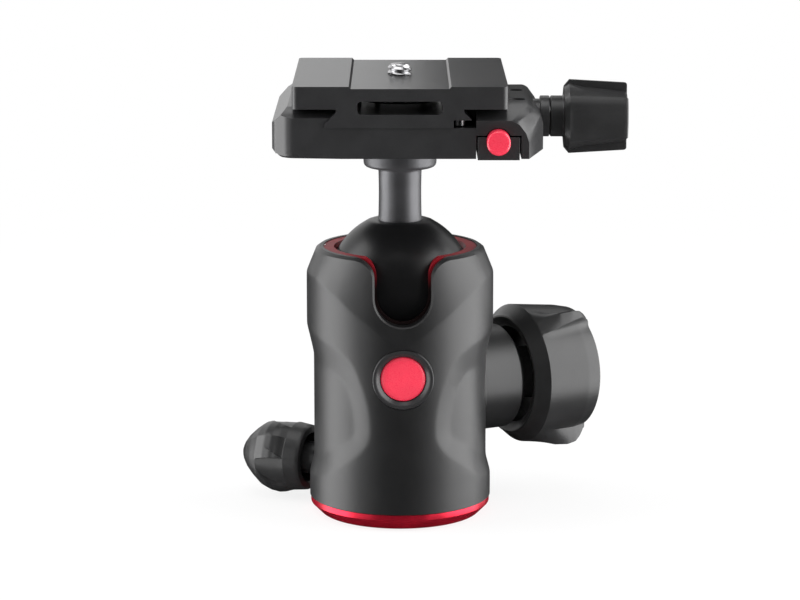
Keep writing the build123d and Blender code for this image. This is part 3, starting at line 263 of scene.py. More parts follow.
def rounded(profile, radii, steps=5):
    """Outline of (along, radius) points whose corners are rounded by the given radii."""
    result = []
    for i, (corner, radius) in enumerate(zip(profile, radii)):
        if i in (0, len(profile) - 1) or radius <= 0:
            result.append(corner)
            continue
        corner = np.array(corner)
        before = profile[i - 1] - corner
        after = profile[i + 1] - corner
        reach = min(radius, 0.48 * np.linalg.norm(before), 0.48 * np.linalg.norm(after))
        start = corner + before / np.linalg.norm(before) * reach
        end = corner + after / np.linalg.norm(after) * reach
        for t in np.arange(steps + 1) / steps:
            result.append(tuple((1 - t) ** 2 * start + 2 * t * (1 - t) * corner + t * t * end))
    return result


def turned(name, axes, profile, radii=None, segments=128, closed=False):
    """Lathed piece. The profile runs from axis to axis, or round a loop when it is closed."""
    if radii is not None:
        profile = rounded(profile, radii)
    angles = np.linspace(0, 2 * pi, segments, endpoint=False)
    rings = [place_ring(axes, along, max(radius, TIP), angles) for along, radius in profile]
    if closed:
        rings.append(rings[0])
    return shell_piece(name, *skin(rings))


def joined(name, meshes):
    """One object out of several closed meshes."""
    work = bmesh.new()
    for mesh in meshes:
        work.from_mesh(mesh)
    mesh = bpy.data.meshes.new(name)
    work.to_mesh(mesh)
    work.free()
    close_mesh(mesh, CREASE)
    return new_object(name, mesh)


def new_tree(name, sizes):
    """Empty geometry tree with a named input for each size; gives the tree and what it is given."""
    tree = bpy.data.node_groups.new(name, "GeometryNodeTree")
    tree.interface.new_socket("Geometry", in_out="INPUT", socket_type="NodeSocketGeometry")
    for size in sizes:
        tree.interface.new_socket(size, in_out="INPUT", socket_type="NodeSocketFloat")
    tree.interface.new_socket("Geometry", in_out="OUTPUT", socket_type="NodeSocketGeometry")
    return tree, add_node(tree, "NodeGroupInput").outputs


def times(tree, one, other):
    return add_node(tree, "ShaderNodeMath", {0: one, 1: other}, operation="MULTIPLY").outputs[0]


def plus(tree, one, other):
    return add_node(tree, "ShaderNodeMath", {0: one, 1: other}, operation="ADD").outputs[0]


def upright_rod(tree, radius, length, middle, sides):
    """Closed rod on Z of a radius, a length and a middle height."""
    rod = add_node(tree, "GeometryNodeMeshCylinder", {"Vertices": sides, "Radius": radius,
                                                      "Depth": length})
    place = add_node(tree, "ShaderNodeCombineXYZ", {"Z": middle})
    move = add_node(tree, "GeometryNodeTransform", {"Geometry": rod.outputs["Mesh"],
                                                    "Translation": place.outputs["Vector"]})
    return move.outputs["Geometry"]


def finish_tree(tree, shape, points, slot):
    """Set the shape on every point, make it real and give it its finish."""
    copies = add_node(tree, "GeometryNodeInstanceOnPoints", {"Points": points, "Instance": shape})
    real = add_node(tree, "GeometryNodeRealizeInstances", {"Geometry": copies.outputs["Instances"]})
    coat = add_node(tree, "GeometryNodeSetMaterial", {"Geometry": real.outputs["Geometry"],
                                                      "Material": FINISHES[slot]})
    add_node(tree, "NodeGroupOutput", {"Geometry": coat.outputs["Geometry"]})


def socket_screw_tree():
    """Screw with a hexagon recess, its head's top at the point and its shank below."""
    tree, given = new_tree("socket_screws", ("Head Radius", "Head Height", "Recess Radius",
                                             "Recess Depth", "Shank Radius", "Shank Length"))
    head = upright_rod(tree, given["Head Radius"], given["Head Height"],
                       times(tree, given["Head Height"], -0.5), 64)
    recess = upright_rod(tree, given["Recess Radius"], times(tree, given["Recess Depth"], 2.0), 0.0, 6)
    cut = add_node(tree, "GeometryNodeMeshBoolean", {"Mesh 1": head, "Mesh 2": recess},
                   operation="DIFFERENCE")
    middle = plus(tree, times(tree, given["Head Height"], -1.0), times(tree, given["Shank Length"], -0.5))
    shank = upright_rod(tree, given["Shank Radius"], given["Shank Length"], middle, 48)
    both = add_node(tree, "GeometryNodeJoinGeometry", {"Geometry": cut.outputs["Mesh"]})
    tree.links.new(shank, both.inputs["Geometry"])
    finish_tree(tree, both.outputs["Geometry"], given["Geometry"], "steel")
    return tree


def thread_tree():
    """Screw thread: a ridge that winds round the axis upwards from the point."""
    tree, given = new_tree("screw_thread", ("Crest Radius", "Ridge Half Width", "Pitch", "Turns"))
    radius = plus(tree, given["Crest Radius"], times(tree, given["Ridge Half Width"], -1.0))
    height = times(tree, given["Pitch"], given["Turns"])
    coil = add_node(tree, "GeometryNodeCurveSpiral", {"Resolution": 48, "Rotations": given["Turns"],
                                                      "Start Radius": radius, "End Radius": radius,
                                                      "Height": height})
    level = add_node(tree, "GeometryNodeSetCurveNormal", {"Curve": coil.outputs["Curve"]}, mode="Z_UP")
    ridge = add_node(tree, "GeometryNodeCurvePrimitiveCircle", {"Resolution": 4,
                                                                "Radius": given["Ridge Half Width"]})
    sweep = add_node(tree, "GeometryNodeCurveToMesh", {"Curve": level.outputs["Curve"],
                                                       "Profile Curve": ridge.outputs["Curve"],
                                                       "Fill Caps": True})
    finish_tree(tree, sweep.outputs["Mesh"], given["Geometry"], "steel")
    return tree


def grown(name, points, tree, sizes):
    """Plain mesh that a geometry tree makes on points; its sizes are in millimetres but for turns."""
    mesh = bpy.data.meshes.new(name + "_places")
    mesh.from_pydata([tuple(c * MM for c in point) for point in points], [], [])
    host = new_object(name, mesh)
    modifier = host.modifiers.new("pattern", "NODES")
    modifier.node_group = tree
    for item in tree.interface.items_tree:
        if item.item_type == "SOCKET" and item.in_out == "INPUT" and item.name in sizes:
            modifier[item.identifier] = sizes[item.name] * (1 if item.name == "Turns" else MM)
    graph = bpy.context.evaluated_depsgraph_get()
    done = bpy.data.meshes.new_from_object(host.evaluated_get(graph))
    bpy.data.objects.remove(host)
    return done


def hard_edges(work, chosen):
    """Hard edges whose middle and way are what a choice asks for."""
    found = []
    for edge in work.edges:
        first, last = (vertex.co for vertex in edge.verts)
        hard = len(edge.link_faces) == 2 and edge.calc_face_angle(0) > radians(HARD_EDGE)
        if hard and chosen((first + last) / 2 / MM, last - first):
            found.append(edge)
    return found


def softened(node, width, steps=2, deeper=(), moved=()):
    """Copy of a solid whose hard edges are rounded; `deeper` holds (choice of edge, width) and
    `moved` the corners, given at the back and mirrored to the front, that go elsewhere first."""
    mesh = frame["nodes"][node].data.copy()
    work = bmesh.new()
    work.from_mesh(mesh)
    bmesh.ops.remove_doubles(work, verts=work.verts, dist=2e-6)
    bmesh.ops.dissolve_limit(work, angle_limit=radians(1.0), verts=work.verts, edges=work.edges)
    for vertex in work.verts:
        side = 1 if vertex.co.y > 0 else -1
        for old, new in moved:
            if (vertex.co / MM - Vector((old[0], side * old[1], old[2]))).length < 0.15:
                vertex.co = Vector((new[0], side * new[1], new[2])) * MM
    for chosen, wide in deeper:
        bmesh.ops.bevel(work, geom=hard_edges(work, chosen), offset=wide * MM, segments=5,
                        profile=0.5, affect="EDGES", clamp_overlap=False)
    work.to_mesh(mesh)
    work.free()
    if mesh.has_custom_normals:
        mesh.attributes.remove(mesh.attributes["custom_normal"])
    mesh.shade_smooth()
    piece = new_object(node + "_finished", mesh)
    bevel = piece.modifiers.new("edge_round", "BEVEL")
    bevel.width = width * MM
    bevel.segments = steps
    bevel.limit_method = "ANGLE"
    bevel.angle_limit = radians(HARD_EDGE)
    flat_first = piece.modifiers.new("flat_faces_first", "WEIGHTED_NORMAL")
    flat_first.weight = 100
    graph = bpy.context.evaluated_depsgraph_get()
    done = bpy.data.meshes.new_from_object(piece.evaluated_get(graph))
    piece.modifiers.clear()
    piece.data = done
    return piece


# ---------------------------------------------------------------- housing

WALL_INNER = 20.05
FOOT_LOW = 4.4
RIM_TOP = 71.0
RIM_RADIUS = 22.0
RIM_BREAK = 70.3
SHOULDER_RADIUS = 24.45
FOOT_RADIUS = 23.85
FIRST_GUESS = 23.0            # radius from which the place of the slot's edge is worked out
SCALLOP_FLOOR = 22.65
UNROLL = 24.0                 # radius at which the skin is laid out flat
HALF_TURN = pi * UNROLL       # laid out, up to the seam at the back
LINE_SPACING = 0.6            # of the samples on the lines that shape the skin
NOTCH_HALF = 7.25
NOTCH_CENTRE = 61.1
FLARE_RADIUS = 5.0
FLARE_HEIGHT = 66.0
# Bores through the wall for the badge's bezel and the pan lock's pad: (angle from the front,
# height, radius).
WALL_BORES = [(0, BADGE_HEIGHT, 7.95), (PAN_ANGLE + 90 - 360 - HOUSING_TURN, PAN_HEIGHT, 2.9)]

# Edge where the upright wall turns into the sloping shoulder: (angle from the front, height).
SHOULDER_LINE = [(0, 48.0), (21, 54.2), (28.5, 56.3), (33, 57.6), (42.4, 60.3), (53.7, 62.8),
                 (64, 64.2), (76, 64.3), (180, 64.3)]
# Outline of one side scallop and of its floor, front half: (angle from the front, height).
SCALLOP_EDGE = [(90, 50.4), (76, 49.9), (59, 48.6), (45, 47.3), (34, 44.3), (27.5, 39.5),
                (22.6, 33.9), (20.5, 28.6), (20.8, 24.7), (24.4, 21.7), (32, 18.7), (46.6, 14.8),
                (61, 11.7), (90, 10.3)]
SCALLOP_INSIDE = [(90, 43.0), (76, 41.4), (64.5, 40.7), (48.7, 40.2), (39.7, 37.1), (36, 33.6),
                  (34, 30.5), (33, 26.7), (34.3, 24.1), (39.4, 22.5), (53, 19.6), (65, 17.0),
                  (76, 15.4), (90, 14.6)]


def flat(angle):
    return radians(angle) * UNROLL


def laid(u, z):
    """Points (arc from the front, height) on the laid-out skin; either may be one number for all."""
    return np.column_stack(np.broadcast_arrays(u, z))


def curve_through(outline):
    """Catmull-Rom curve through (angle, height) points, laid out and sampled every LINE_SPACING."""
    points = np.array([(flat(angle), height) for angle, height in outline])
    padded = np.vstack([2 * points[0] - points[1], points, 2 * points[-1] - points[-2]])
    result = []
    for i in range(1, len(padded) - 2):
        p0, p1, p2, p3 = padded[i - 1:i + 3]
        count = max(1, int(round(np.linalg.norm(p2 - p1) / LINE_SPACING)))
        for t in np.arange(count) / count:
            result.append(0.5 * (2 * p1 + (p2 - p0) * t + (2 * p0 - 5 * p1 + 4 * p2 - p3) * t * t
                                 + (3 * p1 - p0 - 3 * p2 + p3) * t ** 3))
    result.append(points[-1])
    return np.array(result)


def scallop_loop(outline):
    front = curve_through(outline)
    back = front[::-1].copy()
    back[:, 0] = flat(180) - back[:, 0]
    return np.vstack([front, back[1:-1]])


def distance_to(points, line, closed=True):
    """Distance from points to a polyline, and which points lie inside it when it is closed."""
    ends = np.roll(line, -1, axis=0) if closed else line[1:]
    starts = line if closed else line[:-1]
    best = np.full(len(points), 1e9)
    inside = np.zeros(len(points), bool)
    for start, end in zip(starts, ends):
        side = end - start
        t = np.clip(((points - start) @ side) / max(side @ side, 1e-12), 0, 1)
        best = np.minimum(best, np.linalg.norm(points - (start + t[:, None] * side), axis=1))
        if closed:
            crosses = (start[1] > points[:, 1]) != (end[1] > points[:, 1])
            with np.errstate(divide="ignore", invalid="ignore"):
                cut = start[0] + (points[:, 1] - start[1]) * side[0] / (end[1] - start[1])
            inside ^= crosses & (points[:, 0] < cut)
    return best, inside


def soft_ramp(value, width):
    """Zero below, the value itself above, with a rounded turn `width` wide."""
    return 0.5 * (value + np.sqrt(value ** 2 + width ** 2))


EDGE_LOOP = scallop_loop(SCALLOP_EDGE)
INSIDE_LOOP = scallop_loop(SCALLOP_INSIDE)


def wall_radius(u, z):
    """Outer radius of the housing without its edge break; u is the arc from the front."""
    turn = np.degrees(np.abs(u)) / UNROLL
    base = np.interp(z, [10.3, 50.4], [FOOT_RADIUS, SHOULDER_RADIUS])
    line = np.interp(turn, *zip(*SHOULDER_LINE))
    above = soft_ramp(z - line, 0.35)
    radius = base - (SHOULDER_RADIUS - RIM_RADIUS) * above / (RIM_BREAK - line)
    points = laid(np.abs(u), z)
    edge, within = distance_to(points, EDGE_LOOP)
    inner, deep = distance_to(points, INSIDE_LOOP)
    fall = soft_ramp(np.where(within, edge, -edge), 0.45)
    rest = soft_ramp(np.where(deep, -inner, inner), 0.7)
    share = fall / (fall + rest)
    share = np.where(within | (edge < 1.5), share, 0)
    return radius - share * (radius - SCALLOP_FLOOR)


def edge_break(z):
    return np.interp(z, [53.8, 66, 71], [0.35, 0.45, 0.7])


def arc(centre, height, radius, start, end, count):
    """Points on an arc, as (x, height), between two angles."""
    angles = np.radians(np.linspace(start, end, count))
    return np.column_stack([centre + radius * np.cos(angles), height + radius * np.sin(angles)])


def notch_half():
    """Right half of the stem slot's edge, from the bottom to the rim, as (x, height)."""
    bottom = arc(0, NOTCH_CENTRE, NOTCH_HALF, -90, 0, 27)
    bottom[0, 0] = 0.0
    straight = [(NOTCH_HALF, z) for z in np.linspace(NOTCH_CENTRE, FLARE_HEIGHT, 11)[1:-1]]
    flare = arc(NOTCH_HALF + FLARE_RADIUS, FLARE_HEIGHT, FLARE_RADIUS, 180, 90, 18)
    return np.vstack([bottom, straight, flare])


def at_radius(x, z, radius=None):
    """Arc position of slot or hole points that lie at x across the front."""
    if radius is not None:
        return np.arcsin(np.clip(x / radius, -1, 1)) * UNROLL
    u = at_radius(x, z, FIRST_GUESS)
    for _ in range(4):
        u = np.arcsin(np.clip(x / (wall_radius(u, z) - edge_break(z)), -1, 1)) * UNROLL
    return u


def offset_line(line, shift, closed):
    """The line moved sideways by a small distance."""
    if closed:
        way = np.roll(line, -1, axis=0) - np.roll(line, 1, axis=0)
    else:
        way = np.gradient(line, axis=0)
    way /= np.linalg.norm(way, axis=1)[:, None]
    return line + shift * np.column_stack([way[:, 1], -way[:, 0]])


def on_wall(points, border, bores):
    """Which laid-out points lie on the wall, inside its border and outside its bores."""
    _, good = distance_to(points, border)
    for bore in bores:
        _, bored = distance_to(points, bore)
        good &= ~bored
    return good


def nearest_tree(points):
    tree = KDTree(len(points))
    for place, point in enumerate(points):
        tree.insert((*point, 0), place)
    tree.balance()
    return tree


def fill(border, bores, rows, spacing):
    """Triangles over the laid-out wall: border, bores, feature rows and an even scatter between.

    A row is (points, least distance that they keep from what is there already)."""
    placed = np.vstack([border, *bores])
    for row, gap in rows:
        tree = nearest_tree(placed)
        extra = [point for point in row[on_wall(row, border, bores)] if tree.find((*point, 0))[2] > gap]
        if extra:
            placed = np.vstack([placed, extra])
    tree = nearest_tree(placed)
    kept = []
    low, high = border.min(0), border.max(0)
    line_gap = spacing * sqrt(3) / 2
    for row, z in enumerate(np.arange(low[1] + line_gap / 2, high[1], line_gap)):
        points = laid(np.arange(low[0] + spacing * (0.5 if row % 2 else 1.0), high[0], spacing), z)
        for point in points[on_wall(points, border, bores)]:
            if tree.find((*point, 0))[2] > 0.55 * spacing:
                kept.append(point)
    edges = []
    start = 0
    for loop in (border, *bores):
        edges += [(start + i, start + (i + 1) % len(loop)) for i in range(len(loop))]
        start += len(loop)
    made = delaunay_2d_cdt([Vector(p) for p in np.vstack([placed, kept])], edges, [], 0, 1e-7)
    points = np.array([tuple(p) for p in made[0]])
    faces = np.array([tuple(f) for f in made[2]])
    return points, faces[on_wall(points[faces].mean(axis=1), border, bores)]


def wrapped(points, radius):
    """Roll laid-out points back onto the housing, which stands turned a little."""
    angle = points[:, 0] / UNROLL + radians(HOUSING_TURN)
    return np.column_stack([radius * np.sin(angle), -radius * np.cos(angle), points[:, 1]])


def wall_outline():
    """Border of the laid-out skin, outside and inside, and the open edge of rim and slot."""
    right = notch_half()
    notch = np.vstack([right[::-1] * [-1, 1], right[1:]])
    notch_u = at_radius(notch[:, 0], notch[:, 1])
    notch_in = at_radius(notch[:, 0], notch[:, 1], WALL_INNER)
    corner, corner_in = notch_u[-1], notch_in[-1]
    rim_u = np.linspace(corner, HALF_TURN, 140)[1:]
    fade = np.clip(1 - (rim_u - corner) / 12.0, 0, 1)
    rim_in = rim_u + (corner_in - corner) * fade ** 1.5
    seam_z = np.linspace(RIM_TOP, FOOT_LOW, 75)[1:]
    foot_u = np.linspace(HALF_TURN, -HALF_TURN, 300)[1:]

    outer = [laid(notch_u, notch[:, 1]), laid(rim_u, RIM_TOP), laid(HALF_TURN, seam_z),
             laid(foot_u, FOOT_LOW), laid(-HALF_TURN, seam_z[::-1])[1:], laid(-rim_u[::-1], RIM_TOP)]
    inner_u = [notch_in, rim_in, outer[2][:, 0], outer[3][:, 0], outer[4][:, 0], -rim_in[::-1]]
    border = np.vstack(outer)
    border_in = laid(np.concatenate(inner_u), border[:, 1])
    return border, border_in, np.vstack([outer[-1], outer[0], outer[1]])


def wall_bores():
    """Edges of the bores on the laid-out skin, outside and inside."""
    circle = np.linspace(0, 2 * pi, 96, endpoint=False)
    outside, inside = [], []
    for angle, height, size in WALL_BORES:
        across = size * np.cos(circle)
        z = height + size * np.sin(circle)
        reach = wall_radius(flat(angle) + across, z)
        outside.append(laid(flat(angle) + np.arcsin(across / reach) * UNROLL, z))
        inside.append(laid(flat(angle) + np.arcsin(across / WALL_INNER) * UNROLL, z))
    return outside, inside


def feature_rows(open_edge):
    """Rows of points that carry the broken edge of rim and slot, the scallops and the shoulder."""
    break_width = edge_break(open_edge[:, 1])[:, None]
    rows = [(offset_line(open_edge, break_width * share, False), 0.22) for share in (1.0, 2.1)]
    shoulder = curve_through(SHOULDER_LINE)
    for line, step, closed in ((EDGE_LOOP, 0.55, True), (INSIDE_LOOP, 0.55, True), (shoulder, 0.4, False)):
        for side in (1, -1):
            for shift in (-step, 0, step):
                rows.append((offset_line(line, shift, closed) * [side, 1], 0.33))
    return rows


def housing():
    border, border_in, open_edge = wall_outline()
    bores, bores_in = wall_bores()
    out_points, out_faces = fill(border, bores, feature_rows(open_edge), 0.85)
    in_points, in_faces = fill(border_in, bores_in, [], 3.0)

    edge, _ = distance_to(out_points, open_edge, closed=False)
    cut = np.clip(edge_break(out_points[:, 1]) - edge, 0, None)
    outside = wrapped(out_points, wall_radius(out_points[:, 0], out_points[:, 1]) - cut)
    inside = wrapped(in_points, np.full(len(in_points), WALL_INNER))
    shift = len(outside)
    faces = [tuple(f) for f in out_faces] + [tuple(shift + i for i in f[::-1]) for f in in_faces]
    seam = np.abs(border[:, 0]) > HALF_TURN - 1e-6
    first = 0
    for loop in (border, *bores):
        for i in range(len(loop)):
            j = (i + 1) % len(loop)
            if not (loop is border and seam[i] and seam[j]):
                faces.append((first + i, first + j, shift + first + j, shift + first + i))
        first += len(loop)
    piece = shell_piece("housing_shell", np.vstack([outside, inside]), faces, 33)
    dress(piece, "head_housing", "black_casting", "housing")


# ---------------------------------------------------------------- ball and stem

def ball():
    shelf = 9.3
    neck = BALL_HEIGHT + 16.9
    profile = [(BALL_HEIGHT - BALL_RADIUS, 0)]
    top = degrees(atan2(sqrt(BALL_RADIUS ** 2 - shelf ** 2), shelf))
    for a in np.linspace(-90, top, 90)[1:]:
        profile.append((BALL_HEIGHT + BALL_RADIUS * sin(radians(a)), BALL_RADIUS * cos(radians(a))))
    profile += [(neck - 0.35, 8.6), (neck - 0.1, 7.9), (neck, 7.0), (neck, 5.0), (neck - 3, 5.0),
                (neck - 3, 0)]
    piece = turned("ball_coated", UPRIGHT, profile, segments=160)
    dress(piece, "ball_and_stem", "ball_black", "ball")


def stem():
    low = BALL_HEIGHT + 14.2
    collar_low = CLAMP_LOW - 6.5
    profile = [(low, 0), (low, 5.8), (BALL_HEIGHT + 17.2, 5.8), (BALL_HEIGHT + 18.0, 5.62),
               ((low + collar_low) / 2 + 2, 5.5), (collar_low - 0.8, 5.62), (collar_low, 6.1),
               (collar_low, 9.5), (CLAMP_LOW - 0.45, 9.5), (CLAMP_LOW - 0.45, 9.1),
               (CLAMP_LOW - 0.02, 9.1), (CLAMP_LOW - 0.02, 0)]
    radii = [0, 0, 0, 0.6, 6, 0.5, 0.5, 1.5, 0.15, 0.1, 0.1, 0]
    piece = turned("stem_turned", UPRIGHT, profile, radii, 144)
    dress(piece, "ball_and_stem", "grey_anodised", "stem")


# ---------------------------------------------------------------- knobs

LOBES = 3                     # every knob has three


def lobed_ring(axes, along, stations):
    """Ring of one knob section. A lobe's stations are (angle, radius, columns up to the next one)."""
    angles, radii = [], []
    pitch = 360 / LOBES
    following = stations[1:] + [(stations[0][0] + pitch, *stations[0][1:])]
    for lobe in range(LOBES):
        for (angle, radius, columns), (next_angle, next_radius, _) in zip(stations, following):
            for share in np.arange(columns) / columns:
                angles.append(angle + lobe * pitch + share * (next_angle - angle))
                radii.append(radius + share * (next_radius - radius))
    return place_ring(axes, along, np.array(radii), np.radians(angles))


def round_rings(axes, stations, places):
    """Round rings of a lobed knob at (along, radius) places."""
    return [lobed_ring(axes, along, [(angle, radius, n) for angle, _, n in stations])
            for along, radius in places]


def sunk_rings(axes, stations, places):
    """Rings of one section that is made smaller by a drop, at (along, drop) places."""
    return [lobed_ring(axes, along, [(angle, radius - drop, n) for angle, radius, n in stations])
            for along, drop in places]


LOCK_RIM = 32.0
LOCK_BAND = 35.4
LOCK_END = 52.2
LOCK_CREST = -62.0            # angle of the first ridge below the near side
# Hollow foot of a ridge's wall: (distance before the wall's top, share of the wall's height).
RIDGE_FOOT = [(1.6, 0.0), (1.1, 0.05), (0.7, 0.16), (0.35, 0.38), (0.12, 0.75)]


def lock_section(along):
    """Main knob: three scoops between ridges that grow out of the band and narrow to the end."""
    share = (along - LOCK_BAND) / (LOCK_END - LOCK_BAND)
    scoop = np.interp(along, [LOCK_BAND, 48.0, LOCK_END], [18.6, 17.2, 16.3])
    crest = np.interp(along, [LOCK_BAND, 38.0, 42.0, 46.0, 48.5, 50.0, 51.2, LOCK_END],
                      [18.6, 19.5, 20.9, 21.3, 20.8, 19.6, 18.2, 16.6])
    shelf = np.interp(along, [LOCK_BAND, 45.0, 48.5, 50.0, LOCK_END], [18.6, 20.0, 20.1, 19.2, 16.5])
    below = 14.5 - 12.5 * share
    above = 16.0 - 14.0 * share
    lip = 4.0 * (1 - share) + 0.8
    foot = LOCK_CREST - below
    wall = [(foot - degrees(away / scoop), scoop + (shelf - scoop) * rise, 1)
            for away, rise in RIDGE_FOOT]
    return wall + [(foot, shelf, 5), (LOCK_CREST - lip * 0.3, crest, 2),
                   (LOCK_CREST + 0.3, crest - 0.05, 6), (LOCK_CREST + above, scoop, 32)]


def lock_knob():
    axes = knob_frame(LOCK_ANGLE, LOCK_HEIGHT)
    rim, end = LOCK_RIM, LOCK_END
    skirt = [(along, 16.1 + 2.5 * (along - rim - 0.5) / (LOCK_BAND - rim - 0.5))
             for along in np.linspace(rim + 0.5, LOCK_BAND - 0.15, 6)]
    rows = round_rings(axes, lock_section(LOCK_BAND), [
        (rim + 9.0, 13.2), (rim + 1.0, 13.2), (rim + 0.4, 14.9), (rim + 0.1, 15.2), (rim, 15.5),
        (rim + 0.15, 15.9), *skirt])
    places = np.concatenate([[LOCK_BAND + 0.05], np.linspace(LOCK_BAND + 0.4, 49.0, 30),
                             np.linspace(49.3, end - 0.6, 10)])
    rows += [lobed_ring(axes, along, lock_section(along)) for along in places]
    last = lock_section(end - 0.6)
    rows += sunk_rings(axes, last, [(end - 0.3, 0.12), (end - 0.08, 0.4), (end, 0.9)])
    rows += round_rings(axes, last, [(end, 14.6), (end - 2, 14.5), (rim + 9.0, 14.5)])
    rows.append(rows[0])
    grip = shell_piece("lock_knob_grip_moulded", *skin(rows), 28)
    dress(grip, "lock_knob", "knob_rubber", "lock_knob_grip")

    cap = turned("lock_knob_end_cap", axes,
                 [(end - 2.1, 0), (end - 2.1, 14.4), (end, 14.4), (end, 11.2), (end - 0.7, 10.4),
                  (end - 0.7, 0)],
                 [0, 0, 0.5, 0.3, 0.3, 0])
    dress(cap, "lock_knob", "knob_plastic", "lock_knob_cap")

    boss = turned("lock_boss_turned", axes,
                  [(16.5, 0), (16.5, 14.3), (18.35, 14.3), (18.6, 13.9), (29.8, 13.9), (29.8, 11.5),
                   (31.7, 11.5), (31.7, 4.2), (30.9, 3.6), (30.9, 0)],
                  [0, 0, 0.2, 0.1, 0.9, 0.2, 0.5, 0.3, 0.2, 0], 144)
    dress(boss, "head_housing", "black_casting", "lock_boss")


PAN_START = 26.0
PAN_BAND = 30.4
PAN_END = 46.2
PAN_CREST = 44.0              # angle of the first crest above the near side
PAN_FACET_END = 36.0
PAN_SCOOP_END = 39.4


def flat_between(start, end, steps):
    """Stations that keep a knob's section straight between two (angle, radius) points."""
    first, last = (np.array([r * cos(radians(a)), r * sin(radians(a))]) for a, r in (start, end))
    stations = []
    for step in range(steps):
        x, y = first + (last - first) * step / steps
        stations.append((degrees(atan2(y, x)), hypot(x, y), 2))
    return stations


def pan_section(along):
    """Pan knob: three crests with a flat facet on one side and an oval scoop on the other."""
    full = np.interp(along, [PAN_BAND, 32.5, 34.3, 36.5, 39.0, 41.5, 43.6, 45.0, 45.9],
                     [9.2, 9.9, 10.15, 9.9, 8.9, 6.9, 4.9, 3.1, 1.4])
    grow = min(1.0, (along - PAN_BAND) / 3.0)
    fade = np.interp(along, [PAN_SCOOP_END, 44.0], [1.0, 0.0])
    between = full * (1 - 0.05 * grow * fade)
    facet_low = np.interp(along, [PAN_BAND, PAN_FACET_END, 42.0], [9.0, 25.0, 31.0])
    sink = np.interp(along, [PAN_BAND, PAN_BAND + 0.4, PAN_FACET_END], [0, 0.35, 0])
    reach = max(0.0, (along - PAN_BAND) / (PAN_SCOOP_END - PAN_BAND))
    width = sqrt(max(0.0, 1 - min(1.0, reach) ** 1.7))
    scoop_top = -2.0 + 10.0 * width
    scoop_low = -8.0 - 40.0 * width + 6.0 * (1 - width)
    scoop = min(between, np.interp(along, [PAN_BAND, PAN_SCOOP_END], [9.05, 8.45]))
    scoop = scoop if reach < 1 else between
    facet = flat_between((facet_low + 0.4, between - sink), (PAN_CREST - 1.2, full - sink), 4)
    return [(PAN_CREST - 120.0, full, 8), (scoop_low - 2.5, between, 2), (scoop_low + 1.5, scoop, 14),
            (scoop_top - 0.5, scoop, 2), (scoop_top + 1.0, between, 3), (facet_low - 0.8, between, 2),
            *facet, (PAN_CREST - 1.2, full - sink, 2)]


def pan_knob():
    axes = knob_frame(PAN_ANGLE, PAN_HEIGHT)
    start = PAN_START
    sleeve = [(along, 8.65 + 0.55 * (along - start) / (PAN_BAND - start))
              for along in np.linspace(start + 1.2, PAN_BAND - 0.05, 5)]
    rows = round_rings(axes, pan_section(PAN_BAND), [
        (start + 4, 2.5), (start + 4, 6.2), (start + 0.3, 6.5), (start, 6.8), (start, 8.2),
        (start + 0.12, 8.5), (start + 0.5, 8.7), *sleeve])
    places = np.concatenate([[PAN_BAND + 0.05, PAN_BAND + 0.3],
                             np.linspace(PAN_BAND + 0.7, PAN_FACET_END - 0.1, 13),
                             np.linspace(PAN_FACET_END + 0.1, 45.2, 30), [45.5, 45.8]])
    rows += [lobed_ring(axes, along, pan_section(along)) for along in places]
    rows += round_rings(axes, pan_section(45.9), [(46.1, 0.7), (PAN_END, TIP), (start + 12.1, TIP),
                                                  (start + 12.1, 2.5)])
    rows.append(rows[0])
    knob = shell_piece("pan_knob_moulded", *skin(rows), 24)
    dress(knob, "pan_lock_knob", "knob_plastic", "pan_knob")
    boss = turned("pan_boss_turned", axes, [(20.4, 2.6), (20.4, 4.4), (28.3, 4.4), (28.3, 2.6)],
                  [0, 0.1, 0.5, 0.2], 96, closed=True)
    dress(boss, "head_housing", "black_anodised", "pan_boss")


CLAMP_KNOB_START = 42.4
CLAMP_KNOB_END = 58.7
CLAMP_LOBE = 3.0              # angle of the first lobe above the near side


def clamp_section(along):
    """Clamp knob: three broad lobes with a slightly hollow face, and a deep valley between them."""
    share = (along - CLAMP_KNOB_START) / (CLAMP_KNOB_END - CLAMP_KNOB_START)
    full = np.interp(along, [CLAMP_KNOB_START, CLAMP_KNOB_START + 1.3, CLAMP_KNOB_END],
                     [8.1, 9.65, 8.8])
    valley = full - np.interp(share, [0, 0.08, 0.3, 1], [0.35, 0.9, 1.7, 2.3])
    hollow = full - 0.28 - np.interp(share, [0, 0.12, 0.38], [0.0, 0.35, 0.0])
    stations = [(-38.6, valley, 2), (-37.2, full - 0.06, 2), (-34, full, 4), (-23, hollow, 8),
                (12, hollow, 4), (24, full, 4), (37.2, full - 0.06, 2), (38.6, valley, 10)]
    return [(CLAMP_LOBE + angle, radius, columns) for angle, radius, columns in stations]


def clamp_knob():
    neck = 38.8
    start, end = CLAMP_KNOB_START, CLAMP_KNOB_END
    rows = round_rings(CLAMP_FRAME, clamp_section(start), [
        (neck, TIP), (neck, 5.0), (neck + 0.3, 5.3), (start - 0.5, 5.3), (start - 0.15, 5.5),
        (start, 6.0)])
    places = [start + 0.02, *np.linspace(start + 0.3, start + 1.3, 5),
              *np.linspace(start + 1.7, end - 0.7, 24)]
    rows += [lobed_ring(CLAMP_FRAME, along, clamp_section(along)) for along in places]
    last = clamp_section(end - 0.7)
    rows += sunk_rings(CLAMP_FRAME, last, [(end - 0.3, 0.12), (end - 0.05, 0.4), (end, 0.8)])
    rows += round_rings(CLAMP_FRAME, last, [(end, 5.6), (end - 0.6, 5.2), (end - 0.6, TIP)])
    knob = shell_piece("clamp_knob_moulded", *skin(rows), 26)
    dress(knob, "jaw_knob", "knob_plastic", "clamp_knob")


# ---------------------------------------------------------------- badge and button

